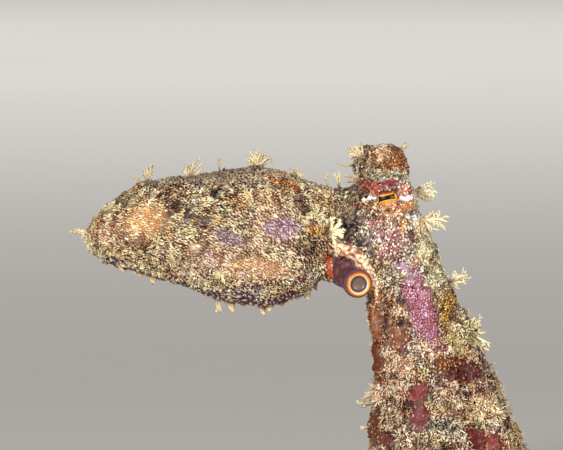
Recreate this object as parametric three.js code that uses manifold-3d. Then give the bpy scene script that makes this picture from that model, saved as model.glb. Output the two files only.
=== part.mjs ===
// A small reef octopus, life size, standing on its eight spread arms with the mantle held out level.
// Millimetres, +Z up, +X the way the head faces. The mantle points along -X and the right eye looks along -Y.
// Flesh is modelled whole and parted with thin cuts: mantle, head, funnel, web, and each arm in three lengths.
import * as THREE from "three";
import { mergeVertices } from "three/addons/utils/BufferGeometryUtils.js";
import Module from "manifold-3d";

const wasm = await Module();
wasm.setup();
const { clamp, degToRad, lerp, smoothstep } = THREE.MathUtils;

// ---- Driving dimensions -------------------------------------------------------------------------------------
const gap = 0.3; // thin cut between neighbouring pieces
const crownHeight = 53; // where the arms leave the head
const crownReach = 6.7; // from the column's axis to an arm's centre line at the crown
const eyeRadius = 3.5;
const eyeSpread = 7.6; // from the head's centre to each eye's centre
const headRoll = degToRad(20); // the left eye sits higher than the right one
const armRadius = { crown: 2.35, floor: 4.3, tip: 0.5 };
const soleShare = 0.9; // on the floor an arm's centre line is this share of its radius up, so its sole is flat
const funnelRadius = { base: 4.0, mouth: 2.5, bore: 1.75 };
const web = { thickness: 1.3, besideArms: 84, midway: 66, sag: 3.2, bulge: 0.45 };

// The mantle's outline in side view, with half its breadth, from the tip to the front edge.
const mantleStations = [
  { x: -60.2, top: 63.7, bottom: 62.3, half: 0.7 },
  { x: -59.2, top: 65.9, bottom: 59.4, half: 2.9 },
  { x: -57.0, top: 68.5, bottom: 57.3, half: 5.1 },
  { x: -52.2, top: 72.0, bottom: 55.7, half: 7.9 },
  { x: -45.0, top: 74.7, bottom: 53.8, half: 10.3 },
  { x: -37.0, top: 75.4, bottom: 51.0, half: 12.3 },
  { x: -29.5, top: 76.7, bottom: 48.8, half: 13.5 },
  { x: -24.5, top: 77.4, bottom: 48.1, half: 13.6 },
  { x: -19.0, top: 75.4, bottom: 49.2, half: 12.9 },
  { x: -14.5, top: 73.7, bottom: 51.6, half: 11.2 },
  { x: -11.6, top: 73.0, bottom: 54.4, half: 9.4 },
  { x: -9.6, top: 72.4, bottom: 58.2, half: 7.6 },
];
const mantleEdge = -10.6; // x of the cut between the mantle's edge and the neck

// The head, from the neck inside the mantle to the crown of arms: centre line and half sizes.
const headStations = [
  { x: -14.0, z: 66.0, half: 7.2, deep: 6.4 },
  { x: -8.5, z: 66.4, half: 7.4, deep: 6.4 },
  { x: -3.5, z: 67.0, half: 8.2, deep: 7.4 },
  { x: 0.3, z: 65.0, half: 8.6, deep: 7.8 },
  { x: 2.3, z: 60.0, half: 8.8, deep: 7.3 },
  { x: 3.6, z: 55.0, half: 9.0, deep: 7.9 },
  { x: 4.3, z: 51.5, half: 9.2, deep: 8.8 },
];
const headCentre = new THREE.Vector3(-0.4, 0.2, 73.2);

// The funnel's centre line, from inside the mantle to its mouth.
const funnelStations = [
  [-14.0, 1.2, 57.2],
  [-11.0, -1.6, 57.0],
  [-8.2, -5.6, 55.6],
  [-6.4, -8.6, 54.4],
  [-5.6, -10.6, 53.8],
];

// A fold of skin runs from the mantle's edge down each side of the funnel to the crown.
const foldStations = [
  [-10.2, 7.0, 60.0],
  [-7.2, 8.0, 59.3],
  [-4.4, 8.0, 56.6],
  [-2.8, 7.2, 53.6],
  [-2.6, 6.2, 51.0],
];

// The column's axis leans forward on its way down.
const columnLean = [
  { z: -1, x: 10.4 },
  { z: 20, x: 9.8 },
  { z: 30, x: 8.8 },
  { z: 40, x: 7.2 },
  { z: 53, x: 4.1 },
];

// Each arm: bearing round the column, slope of its upper part, length of the bend onto the floor, length on the
// floor, a sideways sway (degrees, over a wavelength) that dies out where the tip starts to curl, the curl
// (degrees turned from curlStart on) and the slope the tip ends with.
const arms = [
  { name: "arm_R1", bearing: -24, pitch: -79, bend: 36, run: 215, sway: 42, wave: 130, curl: 470, curlStart: 105, lift: 0 },
  { name: "arm_R2", bearing: -68, pitch: -81, bend: 34, run: 205, sway: 60, wave: 125, curl: -330, curlStart: 105, lift: 0 },
  { name: "arm_R3", bearing: -113, pitch: -82, bend: 35, run: 210, sway: 42, wave: 140, curl: -300, curlStart: 110, lift: 16 },
  { name: "arm_R4", bearing: -158, pitch: -83, bend: 33, run: 205, sway: 64, wave: 120, curl: -450, curlStart: 105, lift: 0 },
  { name: "arm_L4", bearing: 157, pitch: -83, bend: 34, run: 210, sway: 48, wave: 135, curl: 440, curlStart: 105, lift: 0 },
  { name: "arm_L3", bearing: 112, pitch: -81, bend: 36, run: 210, sway: 58, wave: 125, curl: -360, curlStart: 105, lift: 0 },
  { name: "arm_L2", bearing: 66, pitch: -79, bend: 34, run: 205, sway: 40, wave: 130, curl: -430, curlStart: 100, lift: 0 },
  { name: "arm_L1", bearing: 21, pitch: -75, bend: 34, run: 210, sway: 58, wave: 120, curl: 450, curlStart: 105, lift: 0 },
];
const armLengths = [
  { name: "upper", start: 0, steps: 7, sides: 8 },
  { name: "middle", start: 64, steps: 7, sides: 8 },
  { name: "tip", start: 140, steps: 16, sides: 6 },
];

// Fleshy papillae that break the outline: height, and where they stand on the mantle (share of its length from the
// tip, and the angle round it with 0 at the back and 90 on the right side).
const mantlePapillae = [
  { along: 0.2, round: 4, height: 2.6 },
  { along: 0.42, round: -12, height: 2.6 },
  { along: 0.66, round: 6, height: 2.8 },
  { along: 0.86, round: 20, height: 2.2 },
  { along: 0.34, round: 160, height: 2.2 },
  { along: 0.55, round: 172, height: 2.4 },
  { along: 0.66, round: -168, height: 2.4 },
  { along: 0.78, round: 165, height: 2.4 },
  { along: 0.7, round: -75, height: 2.2 },
  { along: 0.4, round: -60, height: 2.0 },
];
const headPapillae = [
  { foot: [10.2, -1.0, 67.0], lean: [1, -0.1, 0.35], height: 2.8 },
  { foot: [11.2, -1.0, 60.5], lean: [1, -0.1, 0.05], height: 3.0 },
];
const papillaRadius = 1.5;

const colours = {
  mantle: 0xb9a06a,
  head: 0xb07f5c,
  funnel: 0x8a5a48,
  web: 0x9c6a4a,
  arm: 0xb08d5e,
  eye: 0x1a1410,
};

// ---- Solids and meshes --------------------------------------------------------------------------------------
function solidOf(geometry) {
  const bare = geometry.clone();
  for (const name of Object.keys(bare.attributes)) if (name !== "position") bare.deleteAttribute(name);
  const merged = mergeVertices(bare, 1e-4);
  return new wasm.Manifold(
    new wasm.Mesh({
      numProp: 3,
      vertProperties: merged.attributes.position.array,
      triVerts: new Uint32Array(merged.index.array),
    }),
  );
}

function geometryOf(solid) {
  const mesh = solid.getMesh();
  const geometry = new THREE.BufferGeometry();
  geometry.setAttribute("position", new THREE.BufferAttribute(mesh.vertProperties, 3));
  geometry.setIndex(new THREE.BufferAttribute(mesh.triVerts, 1));
  geometry.computeVertexNormals();
  return geometry;
}

// A cut can leave crumbs: only the largest body is the piece.
function largest(solid) {
  return solid.decompose().reduce((best, body) => (body.volume() > best.volume() ? body : best));
}

const joined = (solids) => solids.reduce((all, solid) => all.add(solid));
const vector = ([x, y, z]) => new THREE.Vector3(x, y, z);
const curveThrough = (points) => new THREE.CatmullRomCurve3(points.map(vector));

// Smooth values between stations that are given at rising positions.
function smooth(stations, position) {
  const keys = Object.keys(stations[0]).filter((key) => key !== position);
  const positions = stations.map((station) => station[position]);
  const values = stations.flatMap((station) => keys.map((key) => station[key]));
  const curve = new THREE.CubicInterpolant(positions, values, keys.length, new Float64Array(keys.length));
  return (at) => {
    const found = curve.evaluate(clamp(at, positions[0], positions.at(-1)));
    return Object.fromEntries(keys.map((key, i) => [key, found[i]]));
  };
}

// A unit cylinder bent through the sections that sectionAt gives: centre, tangent, the side its width lies along,
// and half sizes wide and tall. It is turned half a side, so that a flat, and not a corner, meets the floor.
function loft(sides, steps, sectionAt) {
  const unit = new THREE.CylinderGeometry(1, 1, 1, sides, steps, false, Math.PI / sides);
  const corner = unit.attributes.position;
  for (let i = 0; i < corner.count; i++) {
    const { centre, tangent, side, wide, tall, onFloor } = sectionAt(corner.getY(i) + 0.5);
    const placed = centre
      .clone()
      .addScaledVector(side, corner.getX(i) * wide)
      .addScaledVector(side.clone().cross(tangent), corner.getZ(i) * tall);
    corner.setXYZ(i, placed.x, placed.y, onFloor ? Math.max(placed.z, 0) : placed.z);
  }
  return solidOf(unit);
}

function ellipsoid(centre, radii, turn = 0, rings = 7) {
  const ball = new THREE.SphereGeometry(1, Math.round(rings * 1.5), rings);
  ball.scale(radii.x, radii.y, radii.z).rotateX(turn).translate(centre.x, centre.y, centre.z);
  return solidOf(ball);
}

const ball = (centre, radius) => ellipsoid(centre, new THREE.Vector3(radius, radius, radius));

function turnTo(from, direction) {
  return new THREE.Quaternion().setFromUnitVectors(from, direction.clone().normalize());
}

function halfSpace(point, outward) {
  const size = 400;
  const box = new THREE.BoxGeometry(size, size, size).translate(0, 0, size / 2);
  box.applyQuaternion(turnTo(new THREE.Vector3(0, 0, 1), outward)).translate(point.x, point.y, point.z);
  return solidOf(box);
}

function papilla(foot, lean, height, radius = papillaRadius) {
  const sunk = radius * 0.8;
  const spike = new THREE.ConeGeometry(radius, height + sunk, 5).translate(0, (height - sunk) / 2, 0);
  spike.applyQuaternion(turnTo(new THREE.Vector3(0, 1, 0), lean)).translate(foot.x, foot.y, foot.z);
  return solidOf(spike);
}

// ---- Mantle -------------------------------------------------------------------------------------------------
const mantleAt = smooth(mantleStations, "x");
const mantleTip = mantleStations[0].x;
const mantleFront = mantleStations.at(-1).x;

function mantleSection(x) {
  const { top, bottom, half } = mantleAt(x);
  return {
    centre: new THREE.Vector3(x, 0, (top + bottom) / 2),
    tangent: new THREE.Vector3(1, 0, 0),
    side: new THREE.Vector3(0, -1, 0),
    wide: half,
    tall: (top - bottom) / 2,
  };
}

// Stations crowd towards the round tip.
const mantleBody = loft(20, 10, (t) =>
  mantleSection(lerp(mantleTip, mantleFront, (1 - Math.cos((t * Math.PI) / 2)) ** 0.85)),
);

function papillaOnMantle({ along, round, height }) {
  const { centre, side, wide, tall } = mantleSection(lerp(mantleTip, mantleFront, along));
  const angle = degToRad(round);
  const foot = centre.clone().addScaledVector(side, Math.sin(angle) * wide);
  foot.z += Math.cos(angle) * tall;
  return papilla(foot, new THREE.Vector3(-0.25, -Math.sin(angle), Math.cos(angle)), height);
}

const tipPapilla = papilla(new THREE.Vector3(mantleTip, 0, 63.2), new THREE.Vector3(-1, 0, 0.15), 2.8);
const mantleWhole = joined([mantleBody, tipPapilla, ...mantlePapillae.map(papillaOnMantle)]);

// ---- Head ---------------------------------------------------------------------------------------------------
const headLine = new THREE.CatmullRomCurve3(headStations.map(({ x, z }) => new THREE.Vector3(x, 0, z)));

function headSection(t) {
  const place = t * (headStations.length - 1);
  const low = Math.min(Math.floor(place), headStations.length - 2);
  const between = (key) => lerp(headStations[low][key], headStations[low + 1][key], place - low);
  return {
    centre: headLine.getPoint(t),
    tangent: headLine.getTangent(t),
    side: new THREE.Vector3(0, 1, 0),
    wide: between("half"),
    tall: between("deep"),
  };
}

// The eyes lie on the head's cross axis, which the roll tips, and look out to their sides, nearer to level.
const eyeAxis = new THREE.Vector3(0, -Math.cos(headRoll), -Math.sin(headRoll));
const eyes = [
  { name: "eye_right", sign: 1, shift: 0.4, rise: 0.2 },
  { name: "eye_left", sign: -1, shift: -0.6, rise: 0.4 },
];
for (const eye of eyes) {
  eye.centre = headCentre.clone().addScaledVector(eyeAxis, eye.sign * eyeSpread);
  eye.centre.add(new THREE.Vector3(eye.shift, 0, eye.rise));
  eye.look = eyeAxis.clone().multiplyScalar(eye.sign).lerp(new THREE.Vector3(0, -eye.sign, 0), 0.6).normalize();
}
const eyeMounds = eyes.map(({ centre, look }) =>
  ellipsoid(centre.clone().addScaledVector(look, -0.9), new THREE.Vector3(6.4, 5.2, 4.9), headRoll),
);
const saddle = ellipsoid(new THREE.Vector3(-0.6, 0.2, 70.6), new THREE.Vector3(6.6, 8.4, 5.6), headRoll, 6);
const browPapillae = eyes.flatMap(({ centre, sign }) => [
  papilla(centre.clone().add(new THREE.Vector3(-5.0, sign, 3.6)), new THREE.Vector3(-0.9, -sign * 0.2, 0.7), 2.4, 1.3),
  papilla(centre.clone().add(new THREE.Vector3(4.6, sign, 2.6)), new THREE.Vector3(0.9, -sign * 0.2, 0.6), 2.0, 1.3),
]);

function collarFold(sign) {
  const line = curveThrough(foldStations.map(([x, y, z]) => [x, sign * y, z]));
  return loft(6, 5, (t) => {
    const tangent = line.getTangent(t);
    const side = new THREE.Vector3(0, sign, 0).cross(tangent).normalize();
    return { centre: line.getPoint(t), tangent, side, wide: 1.1, tall: 1.5 };
  });
}

const headWhole = joined([
  loft(16, 6, headSection),
  saddle,
  ...eyeMounds,
  collarFold(-1),
  collarFold(1),
  ...browPapillae,
  ...headPapillae.map(({ foot, lean, height }) => papilla(vector(foot), vector(lean), height)),
]);

// ---- Funnel -------------------------------------------------------------------------------------------------
const funnelLine = curveThrough(funnelStations);
const boreStart = 0.35; // share of the funnel's length where its bore begins

function funnelTube(from, radiusAt) {
  return loft(12, 6, (t) => {
    const at = lerp(from, 1, t);
    const tangent = funnelLine.getTangentAt(at);
    const side = new THREE.Vector3(0, 0, 1).cross(tangent).normalize();
    return { centre: funnelLine.getPointAt(at), tangent, side, wide: radiusAt(at), tall: radiusAt(at) };
  });
}

const outerRadius = (at) => lerp(funnelRadius.base, funnelRadius.mouth, at ** 0.8);
const mouthRecess = ellipsoid(funnelLine.getPointAt(1), new THREE.Vector3(1, 0.7, 1).multiplyScalar(funnelRadius.bore));
const funnelBore = funnelTube(boreStart, () => funnelRadius.bore).add(mouthRecess);
const funnelRoom = funnelTube(0, (at) => outerRadius(at) + gap * 1.5);

// ---- Arms ---------------------------------------------------------------------------------------------------
const leanAt = smooth(columnLean, "z");

// An arm thickens down the column and tapers from there to the tip.
function radiusAlong(arm, s) {
  if (s < arm.floorStart) return lerp(armRadius.crown, armRadius.floor, smoothstep(s, 0, arm.floorStart * 0.8));
  const left = Math.max(1 - (s - arm.floorStart) / arm.run, 0);
  return lerp(armRadius.tip, armRadius.floor, left ** 1.05);
}

// The upper part falls steeply, then eases onto the floor. The steep stretch has the length that brings it down.
function planDescent(arm) {
  const steep = degToRad(arm.pitch);
  const eased = (u) => steep * (1 - smoothstep(u, 0, 1));
  const parts = 60;
  let fallPerBend = 0;
  for (let i = 0; i < parts; i++) fallPerBend -= Math.sin(eased((i + 0.5) / parts)) / parts;
  const fall = crownHeight - gap - armRadius.floor * soleShare;
  const steepLength = (fall - arm.bend * fallPerBend) / -Math.sin(steep);
  arm.floorStart = steepLength + arm.bend;
  arm.length = arm.floorStart + arm.run;
  arm.pitchAt = (s) => eased(clamp((s - steepLength) / arm.bend, 0, 1));
}

// Stations every routeStep along an arm: centre, heading in plan and slope.
const routeStep = 2;

function planRoute(arm) {
  planDescent(arm);
  const bearing = degToRad(arm.bearing);
  const flat = new THREE.Vector2(Math.cos(bearing), Math.sin(bearing)).multiplyScalar(crownReach);
  let height = crownHeight - gap;
  arm.stations = [];
  for (let s = 0; s <= arm.length + routeStep / 2; s += routeStep) {
    const run = Math.max(s - arm.floorStart, 0);
    const curled = Math.max(run - arm.curlStart, 0) / (arm.run - arm.curlStart);
    const swayed = arm.sway * Math.sin((2 * Math.PI * run) / arm.wave) * Math.max(1 - 2 * curled, 0);
    const yaw = bearing + degToRad(swayed + arm.curl * curled ** 1.6);
    const pitch = run > 0 ? degToRad(arm.lift * curled) : arm.pitchAt(s);
    arm.stations.push({ centre: new THREE.Vector3(flat.x + leanAt(height).x, flat.y, height), yaw, pitch });
    flat.add(new THREE.Vector2(Math.cos(yaw), Math.sin(yaw)).multiplyScalar(routeStep * Math.cos(pitch)));
    const thinning = run > 0 ? radiusAlong(arm, s + routeStep) - radiusAlong(arm, s) : 0;
    height += routeStep * Math.sin(pitch) + thinning * soleShare;
  }
}

function armSection(arm, s, extra = 0) {
  const place = clamp(s / routeStep, 0, arm.stations.length - 1.001);
  const before = arm.stations[Math.floor(place)];
  const after = arm.stations[Math.floor(place) + 1];
  const mix = place - Math.floor(place);
  const yaw = lerp(before.yaw, after.yaw, mix);
  const pitch = lerp(before.pitch, after.pitch, mix);
  const heading = new THREE.Vector3(Math.cos(yaw), Math.sin(yaw), 0);
  return {
    centre: before.centre.clone().lerp(after.centre, mix),
    tangent: heading.clone().multiplyScalar(Math.cos(pitch)).setZ(Math.sin(pitch)),
    side: new THREE.Vector3(heading.y, -heading.x, 0),
    wide: radiusAlong(arm, s) + extra,
    tall: radiusAlong(arm, s) + extra,
    onFloor: extra === 0,
  };
}

const armStretch = (arm, from, to, steps, sides, extra) =>
  loft(sides, steps, (t) => armSection(arm, lerp(from, to, t), extra));
arms.forEach(planRoute);

// ---- Web ----------------------------------------------------------------------------------------------------
// The oral sides of the arms close round a core, and a membrane spans each two neighbours.
const core = { foot: 9, top: crownHeight - gap, footRadius: 14, topRadius: 7 };

const webCore = loft(16, 2, (t) => {
  const height = lerp(core.foot, core.top, t);
  const radius = lerp(core.footRadius, core.topRadius, t ** 0.6);
  return {
    centre: new THREE.Vector3(leanAt(height).x, 0, height),
    tangent: new THREE.Vector3(0, 0, 1),
    side: new THREE.Vector3(1, 0, 0),
    wide: radius,
    tall: radius,
  };
});

// The middle of the membrane, v from one arm to the next and t from the crown to the free edge. High up it bulges
// outwards between the arms, and low down it sags onto the floor.
function membranePoint(arm, next, v, t) {
  const arch = Math.sin(Math.PI * v);
  const s = lerp(0.5, lerp(web.besideArms, web.midway, arch), t);
  const [here, there] = [armSection(arm, s), armSection(next, s)];
  const point = here.centre.lerp(there.centre, v);
  const outward = here.side.cross(here.tangent).lerp(there.side.cross(there.tangent), v);
  point.addScaledVector(outward, web.bulge * here.wide * arch * (1 - smoothstep(t, 0.4, 0.75)));
  point.z -= Math.min(point.z - web.thickness / 2, web.sag) * smoothstep(t, 0.5, 0.9) * arch;
  return point;
}

function membrane(arm, next) {
  const sheet = new THREE.BoxGeometry(1, 1, 1, 2, 6, 1);
  const corner = sheet.attributes.position;
  const step = 0.02;
  for (let i = 0; i < corner.count; i++) {
    const v = corner.getX(i) + 0.5;
    const t = corner.getY(i) + 0.5;
    const along = (dv, dt) => membranePoint(arm, next, clamp(v + dv, 0, 1), clamp(t + dt, 0, 1));
    const inward = along(step, 0).sub(along(-step, 0)).cross(along(0, step).sub(along(0, -step))).normalize();
    const placed = along(0, 0).addScaledVector(inward, corner.getZ(i) * web.thickness);
    corner.setXYZ(i, placed.x, placed.y, Math.max(placed.z, 0));
  }
  return solidOf(sheet);
}

const webWhole = joined([
  webCore,
  ...arms.map((arm, i) => membrane(arm, arms[(i + 1) % arms.length])),
]);

// ---- The cuts -----------------------------------------------------------------------------------------------
// The room round an arm has its facets where the arm's own are, so that the gap between them is even.
const [upperLength, middleLength] = armLengths;
const roomSteps = 4;
const roomEnd = lerp(middleLength.start, armLengths[2].start, roomSteps / middleLength.steps);
const armRoom = joined(
  arms.flatMap((arm) => [
    armStretch(arm, upperLength.start, middleLength.start, upperLength.steps, upperLength.sides, gap),
    armStretch(arm, middleLength.start, roomEnd, roomSteps, middleLength.sides, gap),
  ]),
);
const eyeRoom = joined(
  eyes.map(({ centre, look }) => {
    const opening = new THREE.CylinderGeometry(2.3, 2.0, 8, 10).translate(0, 4, 0).scale(1.25, 1, 0.85);
    opening.applyQuaternion(turnTo(new THREE.Vector3(0, 1, 0), look)).translate(centre.x, centre.y, centre.z);
    return ball(centre, eyeRadius + gap).add(solidOf(opening));
  }),
);
const forward = new THREE.Vector3(1, 0, 0);
const beforeMantle = halfSpace(new THREE.Vector3(mantleEdge, 0, 0), forward);
const behindHead = halfSpace(new THREE.Vector3(mantleEdge + gap, 0, 0), forward.clone().negate());
const belowCrown = halfSpace(new THREE.Vector3(0, 0, crownHeight), new THREE.Vector3(0, 0, -1));

const solids = {
  mantle: mantleWhole.add(headWhole).subtract(beforeMantle.add(funnelRoom)),
  head: headWhole.subtract(joined([behindHead, belowCrown, funnelRoom, eyeRoom, armRoom])),
  funnel: funnelTube(0, outerRadius).subtract(funnelBore),
  web: webWhole.subtract(armRoom.add(funnelRoom)),
};

// ---- The scene graph ----------------------------------------------------------------------------------------
const octopus = new THREE.Group();
const body = new THREE.Group();
octopus.add(body);

function addPiece(name, solid, colour, roughness = 0.6) {
  const material = new THREE.MeshStandardMaterial({ color: colour, roughness, metalness: 0 });
  const mesh = new THREE.Mesh(geometryOf(solid), material);
  mesh.name = name;
  body.add(mesh);
}

for (const [name, solid] of Object.entries(solids)) addPiece(name, largest(solid), colours[name]);
for (const { name, centre } of eyes) addPiece(name, ball(centre, eyeRadius), colours.eye, 0.15);
for (const arm of arms) {
  armLengths.forEach(({ name, start, steps, sides }, i) => {
    const from = i ? start + gap / 2 : start;
    const to = i + 1 < armLengths.length ? armLengths[i + 1].start - gap / 2 : arm.length;
    addPiece(`${arm.name}_${name}`, armStretch(arm, from, to, steps, sides), colours.arm);
  });
}

// The frame: the middle of the whole animal's box stands over the origin, and the soles are at height 0.
const box = new THREE.Box3().setFromObject(body);
const middle = box.getCenter(new THREE.Vector3());
body.position.set(-middle.x, -middle.y, -box.min.z);

export default octopus;
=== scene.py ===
# Looks for the octopus: one skin over the solids, a coat of granules and branched papillae, suckers and eyes.
# Shapes are worked out in millimetres on a plan whose zero lies under the near eye, then moved into place.
import math

import bmesh
import bpy
import numpy as np
from mathutils import Matrix, Vector, kdtree


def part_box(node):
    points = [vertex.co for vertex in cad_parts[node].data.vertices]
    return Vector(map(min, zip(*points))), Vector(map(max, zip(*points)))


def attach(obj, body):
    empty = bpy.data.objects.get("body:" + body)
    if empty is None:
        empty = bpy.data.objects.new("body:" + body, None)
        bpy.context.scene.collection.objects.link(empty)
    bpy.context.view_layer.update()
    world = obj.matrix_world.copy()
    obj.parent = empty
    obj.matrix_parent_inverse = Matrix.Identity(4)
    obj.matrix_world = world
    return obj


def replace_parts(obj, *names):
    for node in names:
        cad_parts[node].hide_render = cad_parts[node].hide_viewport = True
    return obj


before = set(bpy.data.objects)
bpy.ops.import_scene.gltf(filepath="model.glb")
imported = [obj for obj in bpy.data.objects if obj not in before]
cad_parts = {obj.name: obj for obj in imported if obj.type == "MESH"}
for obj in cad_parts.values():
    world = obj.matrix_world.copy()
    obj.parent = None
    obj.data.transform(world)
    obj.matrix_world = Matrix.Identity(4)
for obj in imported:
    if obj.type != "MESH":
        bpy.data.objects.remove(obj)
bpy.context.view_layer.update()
print("frame loaded:", len(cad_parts), "nodes")

nearEye = np.array([0.0, -6.94, 70.8])
farEye = np.array([-1.0, 7.34, 76.2])
eyeLow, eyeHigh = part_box("eye_right")
home = (np.array(eyeLow) + np.array(eyeHigh)) * 500.0 - nearEye   # half the sum, in millimetres


def inMetres(points):
    return (np.asarray(points) + home) / 1000.0


def onPlan(points):
    return np.asarray(points) * 1000.0 - home


def ease(low, high, x):
    t = np.clip((x - low) / (high - low), 0.0, 1.0)
    return t * t * (3.0 - 2.0 * t)


# Goes from colours or points a to b by one share each.
def fade(a, b, share):
    return a + (b - a) * np.asarray(share)[..., None]


def unit(vectors):
    return vectors / np.maximum(np.linalg.norm(vectors, axis=-1, keepdims=True), 1e-9)


# Soft noise, about -1 to 1, from a few slanted waves.
def ripple(points, size, seed, waves=9):
    draw = np.random.default_rng(seed)
    lean = unit(draw.normal(size=(waves, 3))) * (2.0 * math.pi / size) * draw.uniform(0.6, 1.6, (waves, 1))
    start = draw.uniform(0.0, 2.0 * math.pi, waves)
    return np.sin(points @ lean.T + start).sum(axis=1) / (0.9 * math.sqrt(waves))


# A colour written as on a paint card, in the light values that Blender works in.
def tone(code):
    shown = np.array([int(code[i:i + 2], 16) for i in (0, 2, 4)]) / 255.0
    return np.where(shown <= 0.04045, shown / 12.92, ((shown + 0.055) / 1.055) ** 2.4)


def tones(codes):
    return [tone(code) for code in codes]


armPlan = {"crownHeight": 53.0, "crownReach": 6.7, "cut": 0.3, "soleShare": 0.9, "step": 2.0,
           "crown": 2.35, "floor": 4.3, "tip": 0.5}
columnLean = {"height": [-1.0, 20.0, 30.0, 40.0, 53.0], "forward": [10.4, 9.8, 8.8, 7.2, 4.1]}
# name: bearing, slope, bend, run on the floor, sway, its wave, curl, where it starts, lift at the tip
armTable = {
    "arm_R1": (-24, -79, 36, 215, 42, 130, 470, 105, 0),
    "arm_R2": (-68, -81, 34, 205, 60, 125, -330, 105, 0),
    "arm_R3": (-113, -82, 35, 210, 42, 140, -300, 110, 16),
    "arm_R4": (-158, -83, 33, 205, 64, 120, -450, 105, 0),
    "arm_L4": (157, -83, 34, 210, 48, 135, 440, 105, 0),
    "arm_L3": (112, -81, 36, 210, 58, 125, -360, 105, 0),
    "arm_L2": (66, -79, 34, 205, 40, 130, -430, 100, 0),
    "arm_L1": (21, -75, 34, 210, 58, 120, 450, 105, 0),
}


# Smooth curve through the column's lean, flat in its bend at both ends.
def leanAt(height):
    z, x = np.array(columnLean["height"]), np.array(columnLean["forward"])
    slope = np.empty(len(z))
    slope[1:-1] = (x[2:] - x[:-2]) / (z[2:] - z[:-2])
    slope[0] = 1.5 * (x[1] - x[0]) / (z[1] - z[0]) - 0.5 * slope[1]
    slope[-1] = 1.5 * (x[-1] - x[-2]) / (z[-1] - z[-2]) - 0.5 * slope[-2]
    h = np.clip(height, z[0], z[-1])
    i = np.clip(np.searchsorted(z, h) - 1, 0, len(z) - 2)
    span = z[i + 1] - z[i]
    t = (h - z[i]) / span
    return ((2 * t ** 3 - 3 * t ** 2 + 1) * x[i] + (t ** 3 - 2 * t ** 2 + t) * span * slope[i]
            + (3 * t ** 2 - 2 * t ** 3) * x[i + 1] + (t ** 3 - t ** 2) * span * slope[i + 1])


def routeOf(bearing, pitch, bend, run, sway, wave, curl, curlStart, lift):
    steep = math.radians(pitch)
    easedPitch = lambda u: steep * (1.0 - float(ease(0.0, 1.0, u)))
    fallPerBend = -sum(math.sin(easedPitch((i + 0.5) / 60)) for i in range(60)) / 60
    fall = armPlan["crownHeight"] - armPlan["cut"] - armPlan["floor"] * armPlan["soleShare"]
    steepLength = (fall - bend * fallPerBend) / -math.sin(steep)
    floorStart = steepLength + bend

    def radiusAt(s):
        crown, floor, tip = armPlan["crown"], armPlan["floor"], armPlan["tip"]
        if s < floorStart:
            return float(crown + (floor - crown) * ease(0.0, floorStart * 0.8, s))
        return float(tip + (floor - tip) * max(1.0 - (s - floorStart) / run, 0.0) ** 1.05)

    turn = math.radians(bearing)
    x, y = armPlan["crownReach"] * math.cos(turn), armPlan["crownReach"] * math.sin(turn)
    height = armPlan["crownHeight"] - armPlan["cut"]
    rows, s, step = [], 0.0, armPlan["step"]
    while s <= floorStart + run + step / 2:
        ran = max(s - floorStart, 0.0)
        curled = max(ran - curlStart, 0.0) / (run - curlStart)
        swayed = sway * math.sin(2.0 * math.pi * ran / wave) * max(1.0 - 2.0 * curled, 0.0)
        yaw = turn + math.radians(swayed + curl * curled ** 1.6)
        bent = min(max((s - steepLength) / bend, 0.0), 1.0)
        slope = math.radians(lift * curled) if ran > 0 else easedPitch(bent)
        rows.append((s, x + float(leanAt(height)), y, height, yaw, slope, radiusAt(s)))
        x += step * math.cos(slope) * math.cos(yaw)
        y += step * math.cos(slope) * math.sin(yaw)
        height += step * math.sin(slope)
        if ran > 0:
            height += (radiusAt(s + step) - radiusAt(s)) * armPlan["soleShare"]
        s += step
    return np.array(rows)


armRoutes = [routeOf(*values) for values in armTable.values()]
stations = np.concatenate([np.column_stack([np.full(len(r), i), r]) for i, r in enumerate(armRoutes)])
stationYaw, stationSlope = stations[:, 5], stations[:, 6]
stationSide = np.column_stack([np.sin(stationYaw), -np.cos(stationYaw), np.zeros(len(stations))])
level = np.cos(stationSlope)
stationAhead = np.column_stack([np.cos(stationYaw) * level, np.sin(stationYaw) * level, np.sin(stationSlope)])
stationUp = np.cross(stationSide, stationAhead)


# For each point the nearest arm, how far along it, how far out, the angle round it (0 on top) and its radius.
def armPlaces(points):
    centres = stations[:, 2:5]
    square = (centres ** 2).sum(axis=1)
    nearest = np.concatenate([np.argmin(square - 2.0 * part @ centres.T, axis=1)
                              for part in np.array_split(points, max(1, len(points) // 20000))])
    away = points - centres[nearest]
    ahead = (away * stationAhead[nearest]).sum(axis=1)
    side, up = (away * stationSide[nearest]).sum(axis=1), (away * stationUp[nearest]).sum(axis=1)
    return {"arm": stations[nearest, 0].astype(int), "along": stations[nearest, 1] + ahead,
            "out": np.hypot(side, up), "round": np.arctan2(side, up), "radius": stations[nearest, 7],
            "ahead": stationAhead[nearest], "up": stationUp[nearest]}


def newPiece(name, mesh):
    piece = bpy.data.objects.new(name, mesh)
    bpy.context.scene.collection.objects.link(piece)
    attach(piece, "root")
    return piece


# A mesh from arrays of equal-sided faces; the points are on the plan.
def meshFrom(name, points, faces):
    mesh = bpy.data.meshes.new(name)
    corners = faces.shape[1]
    mesh.vertices.add(len(points))
    mesh.vertices.foreach_set("co", inMetres(points).astype(np.float32).ravel())
    mesh.loops.add(faces.size)
    mesh.loops.foreach_set("vertex_index", faces.astype(np.int32).ravel())
    mesh.polygons.add(len(faces))
    mesh.polygons.foreach_set("loop_start", np.arange(len(faces), dtype=np.int32) * corners)
    mesh.update(calc_edges=True)
    mesh.shade_smooth()
    return mesh


def pointsOf(mesh):
    flat = np.empty(len(mesh.vertices) * 3, dtype=np.float32)
    mesh.vertices.foreach_get("co", flat)
    return onPlan(flat.reshape(-1, 3).astype(float))


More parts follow.
